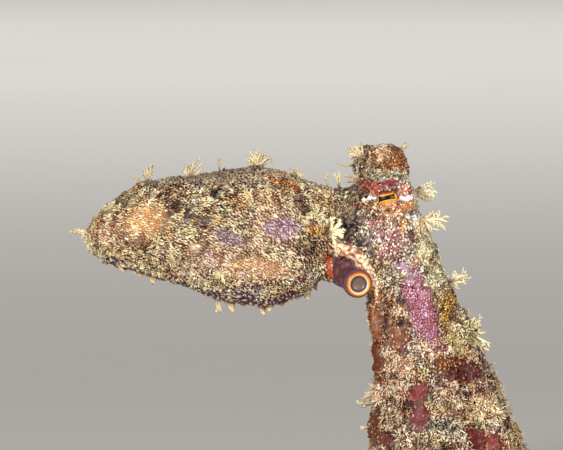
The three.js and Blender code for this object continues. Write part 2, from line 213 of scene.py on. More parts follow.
def trianglesOf(mesh):
    mesh.calc_loop_triangles()
    flat = np.empty(len(mesh.loop_triangles) * 3, dtype=np.int32)
    mesh.loop_triangles.foreach_get("vertices", flat)
    return flat.reshape(-1, 3)


def crossOf(points, triangles):
    first, second, third = (points[triangles[:, corner]] for corner in range(3))
    return np.cross(second - first, third - first)


def normalsOf(points, triangles):
    face = crossOf(points, triangles)
    total = np.zeros_like(points)
    for corner in range(3):
        for axis in range(3):
            total[:, axis] += np.bincount(triangles[:, corner], weights=face[:, axis], minlength=len(points))
    return unit(total)


def paint(mesh, name, colours):
    layer = mesh.color_attributes.new(name, "FLOAT_COLOR", "POINT")
    solid = np.column_stack([colours, np.ones(len(colours))])
    layer.data.foreach_set("color", solid.astype(np.float32).ravel())


# A full turn about the upright axis, closed on itself.
def spinRound(made, geom, steps):
    bmesh.ops.spin(made, geom=geom, cent=(0, 0, 0), axis=(0, 0, 1), angle=2 * math.pi, steps=steps,
                   use_merge=True)


# A bmesh that holds one outline, each place of it a radius and a height.
def outlineOf(places):
    made = bmesh.new()
    line = [made.verts.new((radius, 0, height)) for radius, height in places]
    for start, end in zip(line[:-1], line[1:]):
        made.edges.new((start, end))
    return made


# The turn that points a shape's upright axis along a look.
def turnTo(look):
    return Vector(look).to_track_quat("Z", "Y").to_matrix().to_4x4()


# From the plan's millimetres to metres in place.
intoPlace = Matrix.Scale(.001, 4) @ Matrix.Translation(home)

lidPlan = {"halfWidth": 3.62, "halfHeight": 2.04, "reach": 3.95, "thick": 1.15, "tilt": 10, "steps": 40}


# An almond ring of flesh over the eyeball: its lids.
def addLid(flesh, centre, look):
    wide = lidPlan["halfWidth"]
    upright = Matrix.Translation((wide, 0, 0)) @ Matrix.Rotation(math.pi / 2, 4, "X")
    ring = bmesh.new()
    bmesh.ops.create_circle(ring, segments=10, radius=lidPlan["thick"], matrix=upright)
    spinRound(ring, ring.edges[:], lidPlan["steps"])
    bmesh.ops.recalc_face_normals(ring, faces=ring.faces)
    for vert in ring.verts:
        x, y, z = vert.co
        reach = math.hypot(x, y)
        out = reach - wide
        vert.co = Vector((x / reach * (wide + out), y / reach * (lidPlan["halfHeight"] + out), z))
        vert.co.z += math.sqrt(max(lidPlan["reach"] ** 2 - vert.co.x ** 2 - vert.co.y ** 2, 0.5))
    turn = turnTo(look) @ Matrix.Rotation(math.radians(-lidPlan["tilt"]), 4, "Z")
    bmesh.ops.transform(ring, matrix=Matrix.Translation(centre) @ turn, verts=ring.verts)
    bmesh.ops.transform(ring, matrix=intoPlace, verts=ring.verts)
    holder = bpy.data.meshes.new("lid")
    ring.to_mesh(holder)
    flesh.from_mesh(holder)


def lineDistance(points, line):
    best = np.full(len(points), 1e9)
    for start, end in zip(line[:-1], line[1:]):
        step = end - start
        t = np.clip(((points - start) @ step) / (step @ step), 0, 1)
        best = np.minimum(best, np.linalg.norm(points - (start + t[:, None] * step), axis=1))
    return best


# The edge of the slit behind the head, down to the funnel.
foldLine = np.array([(-10.6, -7.4, 61.2), (-8.8, -8.8, 60.8), (-6.8, -9.2, 60.1), (-5.2, -9.4, 58.8),
                     (-4.0, -9.2, 57.2), (-3.0, -8.8, 55.6), (-2.3, -8.4, 53.9), (-2.1, -8.0, 52.2),
                     (-2.6, -7.2, 50.4)])
foldPlan = {"radius": .78, "spacing": .5, "web": (1.2, -3.0, 2.6), "webRadius": .8, "webSpacing": .6}
# Ridges of the near side, which the far side repeats: along the brow, behind, before and below the eye.
ridgeLines = [
    ([(-8.4, -5.2, 73.6), (-5.6, -6.4, 74.9), (-2.6, -7.0, 75.7), (.6, -7.0, 75.9), (3.4, -6.2, 75.3),
      (5.4, -5.0, 74.2)], .75),
    ([(-9.4, -8.6, 69.4), (-6.6, -9.2, 69.7), (-3.6, -9.8, 70.4)], .55),
    ([(3.0, -9.9, 71.3), (5.0, -9.2, 71.7), (7.0, -7.8, 71.6)], .6),
    ([(-3.2, -9.4, 66.8), (-5.2, -9.2, 64.8), (-6.6, -8.8, 62.6)], .55),
]
farEyeShift = np.array([-1, .4, 5.4])   # the far eye stands a little back and higher


# Soft lumps that the skin closes over.
def addBlobs(flesh, line, radius, spacing):
    steps = np.linalg.norm(np.diff(line, axis=0), axis=1)
    along = np.concatenate([[0], np.cumsum(steps)])
    places = np.arange(0, along[-1] + spacing / 2, spacing)
    for place in np.column_stack([np.interp(places, along, line[:, axis]) for axis in range(3)]):
        bmesh.ops.create_icosphere(flesh, subdivisions=2, radius=radius / 1000,
                                   matrix=Matrix.Translation(Vector(inMetres(place))))


# The fold beside the funnel, with the web of skin that ties it to the neck.
def addFold(flesh, sign):
    line = foldLine * np.array([1, -sign, 1])
    addBlobs(flesh, line, foldPlan["radius"], foldPlan["spacing"])
    across = np.array(foldPlan["web"]) * np.array([1, sign, 1])
    for share in (.25, .5, .75, 1.0):
        addBlobs(flesh, line + share * across, foldPlan["webRadius"], foldPlan["webSpacing"])


# Both sides have a fold, so a point counts by its place on the near side.
def foldDistance(points):
    nearSide = points * np.where(points[:, 1:2] > 0, [1, -1, 1], 1)
    return lineDistance(nearSide, foldLine)


eyeLooks = [unit(np.array([0.0, -1.0, 0.05])), unit(np.array([-0.1, 0.9, 0.42]))]
skinPlan = {"voxel": 0.4, "swell": 0.25, "smoothing": 7, "faces": 96000}


# All the flesh as one shell, swollen enough to close the thin cuts between the solids.
def fleshMesh():
    flesh = bmesh.new()
    for name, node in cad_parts.items():
        if name.startswith("eye"):
            continue
        part = bmesh.new()
        part.from_mesh(node.data)
        bmesh.ops.remove_doubles(part, verts=part.verts, dist=1e-5)
        part.normal_update()
        for vert in part.verts:
            vert.co += vert.normal * skinPlan["swell"] / 1000.0
        holder = bpy.data.meshes.new("part")
        part.to_mesh(holder)
        flesh.from_mesh(holder)
    for centre, look in zip((nearEye, farEye), eyeLooks):
        addLid(flesh, centre, look)
    for sign in (-1, 1):
        addFold(flesh, sign)
        for line, radius in ridgeLines:
            line = np.array(line)
            if sign > 0:
                line = line * np.array([1, -1, 1]) + farEyeShift
            addBlobs(flesh, line, radius, radius * .7)
    mesh = bpy.data.meshes.new("flesh")
    flesh.to_mesh(mesh)
    return mesh


# The mesh after one modifier.
def remade(mesh, kind, **settings):
    holder = bpy.data.objects.new("holder", mesh)
    bpy.context.scene.collection.objects.link(holder)
    if "vertex_group" in settings:
        group = holder.vertex_groups.new(name="give")
        shares = settings.pop("vertex_group")
        for level in np.unique(shares):
            group.add(np.nonzero(shares == level)[0].tolist(), float(level), "REPLACE")
        settings["vertex_group"] = "give"
    change = holder.modifiers.new(kind, kind)
    for key, value in settings.items():
        setattr(change, key, value)
    made = bpy.data.meshes.new_from_object(holder.evaluated_get(bpy.context.evaluated_depsgraph_get()))
    bpy.data.objects.remove(holder)
    return made


def edgesOf(triangles):
    pairs = np.concatenate([triangles[:, [0, 1]], triangles[:, [1, 2]], triangles[:, [2, 0]]])
    return np.unique(np.sort(pairs, axis=1), axis=0)


# The mean of the points that each point shares an edge with.
def neighbourMean(points, edges):
    start, end = edges.T
    count = np.maximum(np.bincount(edges.ravel(), minlength=len(points)), 1)[:, None]
    total = [np.bincount(start, values[end], len(points)) + np.bincount(end, values[start], len(points))
             for values in points.T]
    return np.column_stack(total) / count


# Evens the surface out without shrinking it.
def smoothed(points, triangles, rounds):
    edges = edgesOf(triangles)
    for strength in [0.6, -0.62] * rounds:
        points = points + strength * (neighbourMean(points, edges) - points)
    return points


skinMesh = remade(fleshMesh(), "REMESH", mode="VOXEL", voxel_size=skinPlan["voxel"] / 1000.0)
print("remeshed:", len(skinMesh.vertices), "points")
points = pointsOf(skinMesh)
share = np.round(0.06 + 0.94 * ease(24.0, 8.0, points[:, 2]), 1)   # the arms on the floor are thinned most
wanted = skinPlan["faces"] / len(skinMesh.polygons)
skinMesh = remade(skinMesh, "DECIMATE", ratio=wanted, vertex_group=share, vertex_group_factor=1.0)
print("thinned:", len(skinMesh.polygons), "faces")

# The tones of the markings, from dark to light.
toneCard = {
    "ink": "1c1216", "soot": "2a1614", "night": "201926", "peat": "341f18", "oxblood": "401a17",
    "bark": "422214", "plum": "36252b", "slate": "302738", "wine": "50242c", "cocoa": "472c20",
    "ember": "602422", "olive": "48341f", "claret": "5e272c", "brick": "602a18", "maroon": "5a2f27",
    "toffee": "603418", "umber": "563a24", "garnet": "752f2c", "cedar": "68362a", "walnut": "5c3d2e",
    "crimson": "90281c", "violet": "554560", "chestnut": "704830", "mauve": "664659",
    "raspberry": "853a47", "russet": "84402e", "saddle": "7c4a28", "leather": "765c3c",
    "sienna": "8b5338", "fig": "805664", "rust": "b04c27", "ginger": "a0562c", "heather": "835f67",
    "terra": "965f56", "clay": "92694e", "tangerine": "b06324", "amber": "9e6a36", "tawny": "966e40",
    "blush": "a0685f", "drab": "877755", "thistle": "916d73", "tan": "ad7d5c", "copper": "b98048",
    "khaki": "9b8a66", "hazel": "ae8c5a", "rose": "c17b86", "fawn": "b88a5c", "gold": "cd8a38",
    "coral": "cd8468", "salmon": "cb8378", "flint": "b88f80", "apricot": "d98a4a", "straw": "aa9b75",
    "lilac": "b98da0", "peach": "d18e5a", "ash": "b09c96", "chaff": "b4a478", "ochre": "d5a648",
    "sand": "c6a583", "barley": "c3ae70", "pink": "cc9fb0", "honey": "d5a86c", "flame": "f0a54e",
    "wheat": "cfb06e", "dusk": "c2b0b0", "dune": "c8b494", "pearl": "c8b88e", "shell": "c8b8be",
    "orchid": "d2b4c5", "linen": "cfc198", "bisque": "e6b898", "bone": "cfc3ac", "buff": "eebf84",
    "oat": "dfc894", "biscuit": "dccaa6", "flax": "dccf9c", "maize": "eacf90", "butter": "f3cf80",
    "sallow": "dfd4a4", "mist": "dcd2d6", "cream": "eedaa8", "petal": "f1d9c6", "milk": "f1dfb8",
    "ivory": "f3e8d4", "lemon": "f3f0c4", "white": "f2f0ea"}


# One soft-edged patch of the markings, on the plan's side view: its skin tone and coat tone, its middle,
# half its length and height, its turn in degrees, and how thick, fingered and coarse the coat is on it.
def dab(skin, coat, x, z, long, high, turn=0, soft=.5, cover=1, fingers=0, grain=1):
    return x, z, long, high, turn, soft, toneCard[skin], toneCard[coat], cover, fingers, grain


mantlePatches = [
    dab("umber", "oat", -53.6, 63.6, 7.2, 5.2, soft=.6),
    dab("sienna", "bone", -36.2, 57.6, 6.8, 3.4, 12, soft=.6, cover=1.05),
    dab("maroon", "linen", -29.2, 69.6, 4.8, 4, soft=.35, cover=1.1, grain=1.1),
    dab("cedar", "linen", -21, 64.8, 6.2, 4.4, soft=.35, cover=1.1, grain=1.1),
    dab("chestnut", "milk", -19.6, 57.6, 4.4, 2.8, 40, cover=1.1, grain=1.1),
    dab("sienna", "linen", -55.2, 63.6, 3.6, 3.2, soft=.7),
    dab("walnut", "pearl", -40.8, 57.6, 5.4, 2, -20, soft=.6, cover=1.1),
    dab("copper", "oat", -48, 66, 4.25, 3.6, soft=.7),
    dab("copper", "pearl", -48.6, 66.8, 1.6, 1.6, soft=.6),
    dab("bark", "clay", -50.6, 61.4, 2.4, .7, -30, cover=.9),
    dab("slate", "khaki", -34.2, 75.6, 7.4, 1.4, 3, soft=.6, cover=.75, grain=.9),
    dab("ink", "leather", -43, 67.2, .64, .76, cover=.8),
    dab("ink", "cocoa", -39.2, 67.4, 1.2, .9, cover=.8),
    dab("ink", "hazel", -37.8, 66, 1.4, .8, -15, cover=.6),
    dab("plum", "walnut", -35.8, 64.6, 2, .8, -20, cover=.9),
    dab("saddle", "linen", -24, 69.4, 5.6, 1.8, -8, cover=1.1, grain=1.15),
    dab("mauve", "ash", -31.4, 62.4, 4.2, 1.2, -22),
    dab("peat", "sallow", -32, 69.4, 2.4, 2.8, 10, soft=.3, cover=1.1, grain=1.2),
    dab("soot", "wheat", -31.4, 70, 1.4, 1.6, 10, soft=.4, cover=.9),
    dab("ink", "peat", -33.4, 72.2, .8, .8, cover=.8),
    dab("brick", "gold", -20.6, 73.2, 4.6, 1.2, -22),
    dab("ink", "clay", -17.2, 69.4, 1, 1.8, cover=.85),
    dab("chestnut", "maize", -12, 70.2, 3.4, 1.8, soft=.6),
    dab("walnut", "ochre", -15, 64, 1.6, 1, -10, soft=.4, grain=1.1),
    dab("wine", "cream", -18.2, 57, 2.6, 2.6, soft=.6),
    dab("ink", "hazel", -16, 60.6, 3, 1.6, -12, soft=.4, cover=.8),
    dab("fawn", "dune", -25.6, 56.4, 6.72, 2.2, -8, soft=.7),
    dab("violet", "pearl", -27.2, 51.8, 5, 1, 2, cover=.7),
    dab("rust", "peach", -11.2, 56.8, .84, 3, 4, soft=.4, cover=.3),
    dab("violet", "cream", -14.4, 54.4, 1.8, 2, -20, cover=.9),
    dab("cocoa", "sallow", -37.6, 71.4, .7, 2.2, 15, soft=.4, cover=1.1, grain=1.15),
    dab("cocoa", "pearl", -38.2, 69, .7, 1.8, -25, soft=.4, cover=1.1, grain=1.15),
    dab("cocoa", "sallow", -32, 71.6, 1.6, .7, 25, soft=.4, cover=1.1, grain=1.2),
    dab("brick", "milk", -33.4, 69.4, .7, 2, soft=.4, cover=1.1, grain=1.2),
    dab("umber", "honey", -29.2, 69.2, 1.8, 1.8, cover=.95),
    dab("ink", "peat", -34, 71.2, 1.2, 1, 30, soft=.4, cover=.7),
    dab("oxblood", "tan", -36, 64.4, 1.6, .7, -20, soft=.4, cover=.8),
    dab("peat", "umber", -41.6, 68.4, 1.8, 1, 20, cover=.85),
    dab("cocoa", "honey", -43.2, 62.8, 2.8, .8, -10, cover=.95),
    dab("umber", "tan", -47.2, 61, 3.2, .8, -15, cover=.9),
    dab("amber", "bone", -30, 55.2, 2.8, 1.2, -10, cover=1.05),
    dab("clay", "biscuit", -26.2, 61.2, 2.4, 1, 25),
    dab("umber", "pearl", -17.2, 65.2, 1, 2.4, 15, soft=.4, cover=1.1, grain=1.15),
    dab("chestnut", "linen", -22.6, 60.8, 2.8, .8, 15, soft=.4, cover=1.1, grain=1.15),
    dab("garnet", "sallow", -25.4, 65.6, .9, 2.4, 10, soft=.4, cover=1.1, grain=1.15),
    dab("ink", "olive", -16.2, 67.6, 1.8, .8, 60, cover=.8),
    dab("slate", "straw", -39.2, 74, 4.4, .8, -8, cover=.8, grain=.9),
    dab("slate", "drab", -46.8, 73.2, 3.6, .8, -22, cover=.8, grain=.9),
    dab("plum", "drab", -53.2, 70, 3.2, .8, -38, cover=.85, grain=.9),
    dab("slate", "drab", -26.8, 76.8, 4.4, 1, 2, cover=.85),
    dab("slate", "khaki", -55.2, 57.6, 2.8, .8, 18, cover=.85, fingers=.4),
    dab("slate", "khaki", -49.2, 55.2, 3.6, .8, 18, cover=.8, fingers=.4),
    dab("fig", "dusk", -21, 64.4, 3.8, 2.2, 5, soft=.3, cover=.9, grain=1.1),
]
headPatches = [
    dab("brick", "oat", -1.8, 78.8, 4.8, 2.8, cover=.9, grain=1.12),
    dab("olive", "sand", -4.8, 79.6, 1.8, 1.6, cover=1.1, fingers=.35),
    dab("amber", "milk", -.6, 78.6, 1.6, 1.6, grain=1.18),
    dab("brick", "amber", 3.4, 78.4, 2, 2.8, soft=.4, cover=.75, grain=1.06),
    dab("brick", "flame", 1, 76.6, 2.4, .8, cover=.9, grain=1.12),
    dab("walnut", "cream", -.8, 75.4, 5.4, .48, 4, fingers=.2),
    dab("brick", "tan", -4, 73.2, 2.4, 1.6, -12, cover=.5, grain=1.18),
    dab("cocoa", "khaki", -6.8, 72, 2, 1, -25, cover=.9),
    dab("sienna", "petal", 3.2, 72.8, 2, 1.4, cover=.5, grain=1.18),
    dab("raspberry", "rose", .2, 73.2, 1.4, 1, cover=.2, grain=1.18),
    dab("russet", "bone", 3, 72, 1, .6, 15, soft=.4, cover=.5, grain=1.18),
    dab("brick", "buff", -3.2, 68.6, 1.8, 1, cover=.8, grain=1.18),
    dab("rust", "cream", 3.2, 68.4, 1.2, 1.8, cover=.7),
    dab("copper", "ivory", .6, 67.4, 2, 2.2, cover=.8),
    dab("brick", "sand", .6, 67.8, .6, .52, cover=.2),
    dab("tangerine", "gold", .2, 70.2, 2.2, 1, 8, soft=.25, cover=.2),
    dab("clay", "pearl", -7.8, 68.6, 2.6, .32, 12, soft=.4, cover=.8),
    dab("heather", "white", 5.6, 67.6, 1.4, 1.8, cover=.8, grain=1.18),
    dab("garnet", "ivory", 1.2, 62.4, 3.6, 2.8, soft=.6, cover=.95, grain=1.24),
    dab("garnet", "bone", 2.4, 64.8, 2, .8, -15, cover=.7, grain=1.18),
    dab("raspberry", "ivory", -1.4, 63.6, 1.6, .8, -10, cover=.8, grain=1.18),
    dab("violet", "milk", -4.2, 62.4, 1.4, 2.6, -20, cover=.8, grain=1.18),
    # painted shade: the dark patch in the slit of the neck
    dab("night", "drab", -7, 65.6, 1.6, 3.2, -10, cover=.4, grain=1.12),
    dab("slate", "pearl", -4.6, 61.2, 1.8, .9, -42, cover=.5, grain=1.12),
    dab("maroon", "pearl", -1.2, 57.6, 1.8, 3.2, -12, grain=1.12),
    dab("thistle", "mist", 3.2, 56.4, 1.8, 1.8, -20, cover=.5, grain=1.12),
    dab("maroon", "bisque", 6, 58, 1, 2, -22, cover=.6, grain=1.06),
    dab("straw", "lemon", 7, 70.8, 1.6, 2.4, cover=.8, fingers=.1, grain=1.12),
    dab("sand", "lemon", 6.8, 65.6, 1.8, 3, cover=.8, fingers=.1, grain=1.12),
    dab("chaff", "lemon", 7.8, 60, 1.8, 2.6, -15, soft=.45, cover=.8, fingers=.1, grain=1.12),
    dab("khaki", "lemon", 9.8, 54.8, 1.8, 3, -28, soft=.45, cover=.85, fingers=.15, grain=1.12),
    dab("leather", "oat", 11.4, 50.2, 1.6, 2.4, -28, cover=.85, fingers=.15, grain=1.05),
    dab("cocoa", "chestnut", -8.2, 57.6, 1.8, 2, soft=.4, cover=0),
    dab("clay", "bone", -8.6, 60.2, 2, .52, 3, soft=.35, cover=.3, grain=.9),
    dab("clay", "bone", -5.6, 58.8, 1.8, .52, -40, soft=.35, cover=.3, grain=.9),
    dab("clay", "bone", -3.6, 56.2, 1.8, .52, -62, soft=.35, cover=.3, grain=.9),
    dab("thistle", "biscuit", -2.6, 53.2, 1.6, .52, -85, soft=.35, cover=.3, grain=.9),
    dab("wine", "buff", -4.8, 68.8, 2, .8, -15, soft=.4, cover=.5, grain=1.1),
    dab("apricot", "butter", 4.4, 68.8, 1.2, 1, 20, cover=.5),
    dab("sienna", "butter", 3.6, 65.6, .6, 2.4, -18, soft=.4, cover=.5),
    dab("wine", "white", 5.2, 67.2, 1.2, 1.2, soft=.4, cover=.6, grain=1.1),
    dab("russet", "petal", -2, 65.6, 2, 1, 20, cover=.8),
    dab("saddle", "white", 3.6, 61.2, 1.6, .8, -45, soft=.4, cover=.7),
    dab("garnet", "petal", .4, 59.6, 2.8, 1.2, 10, cover=.6),
    dab("rust", "ivory", 3.6, 71.6, 1, .8, soft=.4, cover=.3),
    dab("crimson", "flint", -2.8, 71.6, 1, 1, soft=.4, cover=.35),
    dab("crimson", "coral", -2, 72.2, 1.4, .8, -15, cover=.35, grain=1.1),
    dab("white", "white", -3.6, 70.08, 1.5, .28, 2, soft=.3, cover=0, grain=1.12),
    dab("white", "white", 4.2, 70.52, 1.7, .54, 3, soft=.3, cover=0, grain=1.18),
]
columnPatches = [
    dab("apricot", "milk", -2, 51.2, 1.2, 1.8, soft=.4, cover=.9, grain=1.1),
    dab("saddle", "peach", -2.2, 45.6, 1.6, 4, soft=.3, cover=.03),
    dab("brick", "amber", -2.2, 37, 1.6, 4.4, soft=.3, cover=.03),
    dab("chestnut", "bisque", 2.2, 43, 2.4, 3.6, -5, soft=.4, cover=.1),
    dab("oxblood", "tan", -.4, 45.6, .6, 2.4, 6, cover=.1),
    dab("bark", "ochre", 11.8, 47.6, 1.8, 5.4, -18, cover=.7, grain=1.1),
    dab("soot", "chestnut", 2.8, 45.4, 1, 1.1, soft=.4, cover=.2),
    dab("saddle", "biscuit", 3, 47.8, 3, 1.2, -12, cover=1.1, fingers=.4, grain=1.3),
    dab("umber", "flax", 15.6, 43.4, 2.6, 3.6, -15, cover=1.2, fingers=1, grain=1.2),
    dab("oxblood", "ginger", 15, 35.8, 4.6, 2.6, -8, soft=.35, cover=.14),
    dab("sienna", "milk", 2.4, 37.2, 3.2, 2.8, cover=1.1, grain=1.1),
    dab("garnet", "biscuit", 9.6, 40.2, 3.8, 1.4, -5, cover=1.2, fingers=.2, grain=1.2),
    dab("soot", "oat", 8.4, 36.4, 2, 2, cover=.72, fingers=.2, grain=1.1),
    dab("russet", "biscuit", .4, 32, 4, 2.2, 8, cover=1.2, fingers=1, grain=1.1),
    dab("oxblood", "sand", 14.6, 32, 4, 1.6, fingers=.9, grain=1.1),
    dab("sienna", "sallow", 17.6, 28, 7.4, 2.4, -5, cover=1.2, fingers=1.2, grain=1.1),
    dab("maroon", "pearl", 1.2, 27, 2.4, 2.4, fingers=.5, grain=1.1),
    dab("garnet", "blush", 6.8, 31.4, 2.3, 1.9, soft=.15, cover=.06),
    dab("claret", "salmon", 6.6, 26.6, 1.7, 2.2, soft=.15, cover=.06),
    dab("toffee", "tawny", -3.6, 23.6, 2.6, 4, -12, soft=.4, cover=.15),
    dab("night", "biscuit", 11.4, 24.4, 3.6, 2.8, cover=.9, fingers=.9, grain=1.1),
    dab("umber", "linen", 8.2, 22.6, 5, 1.6, -6, cover=1.2, fingers=.8, grain=1.1),
    dab("ember", "terra", 17.6, 22.6, 1.8, 2.8, soft=.15, cover=.06),
    dab("garnet", "tan", 21, 21.6, 1.8, 1.8, soft=.2, cover=.1),
    dab("brick", "blush", 0, 22, 1.8, 1.2, soft=.2, cover=.1),
    dab("mauve", "lilac", 21.6, 39.6, 2.4, 2, -30, soft=.4, cover=.2),
    dab("chestnut", "cream", 24.4, 31, 2.8, 4, -20, fingers=1, grain=1.1),
    dab("chestnut", "oat", 27.8, 23.6, 3.6, 4.4, -20, cover=.9, fingers=.8, grain=1.1),
    dab("sienna", "milk", .8, 40, 2, 1, cover=1.1, fingers=.5, grain=1.1),
    dab("maroon", "bone", 4.4, 39.6, 2.4, 1, -5, cover=1.2, fingers=.3, grain=1.2),
    dab("bark", "copper", 8.8, 49, .8, 3.2, -15, soft=.4, cover=.5),
    dab("umber", "barley", 13.8, 41, 2.4, 1.6, -20, cover=1.1, fingers=.5, grain=1.1),
    dab("oxblood", "gold", 11.8, 36.8, 2.8, 1.6, soft=.4, cover=.3),
    dab("cocoa", "pearl", 8.8, 30, 1.6, 2, -20, cover=1.1, fingers=.6, grain=1.1),
    dab("umber", "sallow", 18.4, 25, 2, 1.2, cover=1.1, fingers=.8, grain=1.1),
    dab("raspberry", "orchid", 6.8, 49, 8.4, 2.7, -72, soft=.28, cover=.42, grain=.78),
    dab("heather", "shell", 4.6, 55.2, 1.8, 1.6, -40, soft=.4, cover=.5, grain=.85),
    dab("garnet", "pink", 8.8, 47.6, 3.2, .8, -74, soft=.4, cover=.42, grain=.78),
]

# Beside the patches each zone has two skin tones and two coat tones, which wander into each other.
baseTones = {
    "mantle": ("602c20", "401c1e", "e8e2b0", "c6aa72"), "head": ("4c1c14", "301010", "eae8c0", "cab686"),
    "column": ("521610", "300e0e", "e0d2b0", "c09060"), "arm": ("6e4026", "40242a", "ded2a4", "b98f5e"),
}
# Where one zone ends and the next begins.
zonePlan = {"mantleEnd": -10.6, "mantleLow": 44, "headLow": 53, "armTop": 18, "mantleAxis": 62.5}


# Shares of mantle, head, column and floor arm at each point; they add up to one.
def sharesOf(points):
    x, z = points[:, 0], points[:, 2]
    edge = x + .5 * ripple(points, 4.0, 17)
    mantle = ease(-9.6, -11.6, edge) * (z > zonePlan["mantleLow"])
    head = (1 - mantle) * ease(49.5, 56.0, z + .8 * ripple(points, 4.0, 18))
    arm = (1 - mantle) * ease(19.0, 14.0, z)
    return {"mantle": mantle, "head": head, "column": 1 - mantle - head - arm, "arm": arm}


# The same zones with sharp edges.
def regionsOf(points):
    onMantle = (points[:, 0] < zonePlan["mantleEnd"] + .3) & (points[:, 2] > zonePlan["mantleLow"])
    onHead = ~onMantle & (points[:, 2] > zonePlan["headLow"])
    onArm = ~onMantle & (points[:, 2] < zonePlan["armTop"])
    return {"mantle": onMantle, "head": onHead, "column": ~onMantle & ~onHead & ~onArm, "arm": onArm}


markPlan = {"seenSlant": .052,   # how much higher a point looks for each millimetre of depth
            # the first three below: how much the spots and dips darken (on column and arms painted shade),
            # how much barer they get, and how much the tops lighten (painted light)
            "spotsAndDipShade": .42, "hollowCover": .38, "height": .10, "fleck": .8,
            "dull": {"head": .62, "column": .35, "mantle": .2},
            "foldSkin": ("9a6242", "f0dab4"), "foldCoat": "e6c8a0",
            "bellySkin": ("5c4462", "6c4c50"), "bellyCoat": "b8a088",
            # the back tones on the next line are painted shade for the upward-facing mantle
            "backShadeSkin": "33283a", "backShadeCoat": "987a56", "redden": (0, .14, .14), "coatCast": (1, .975, .98)}


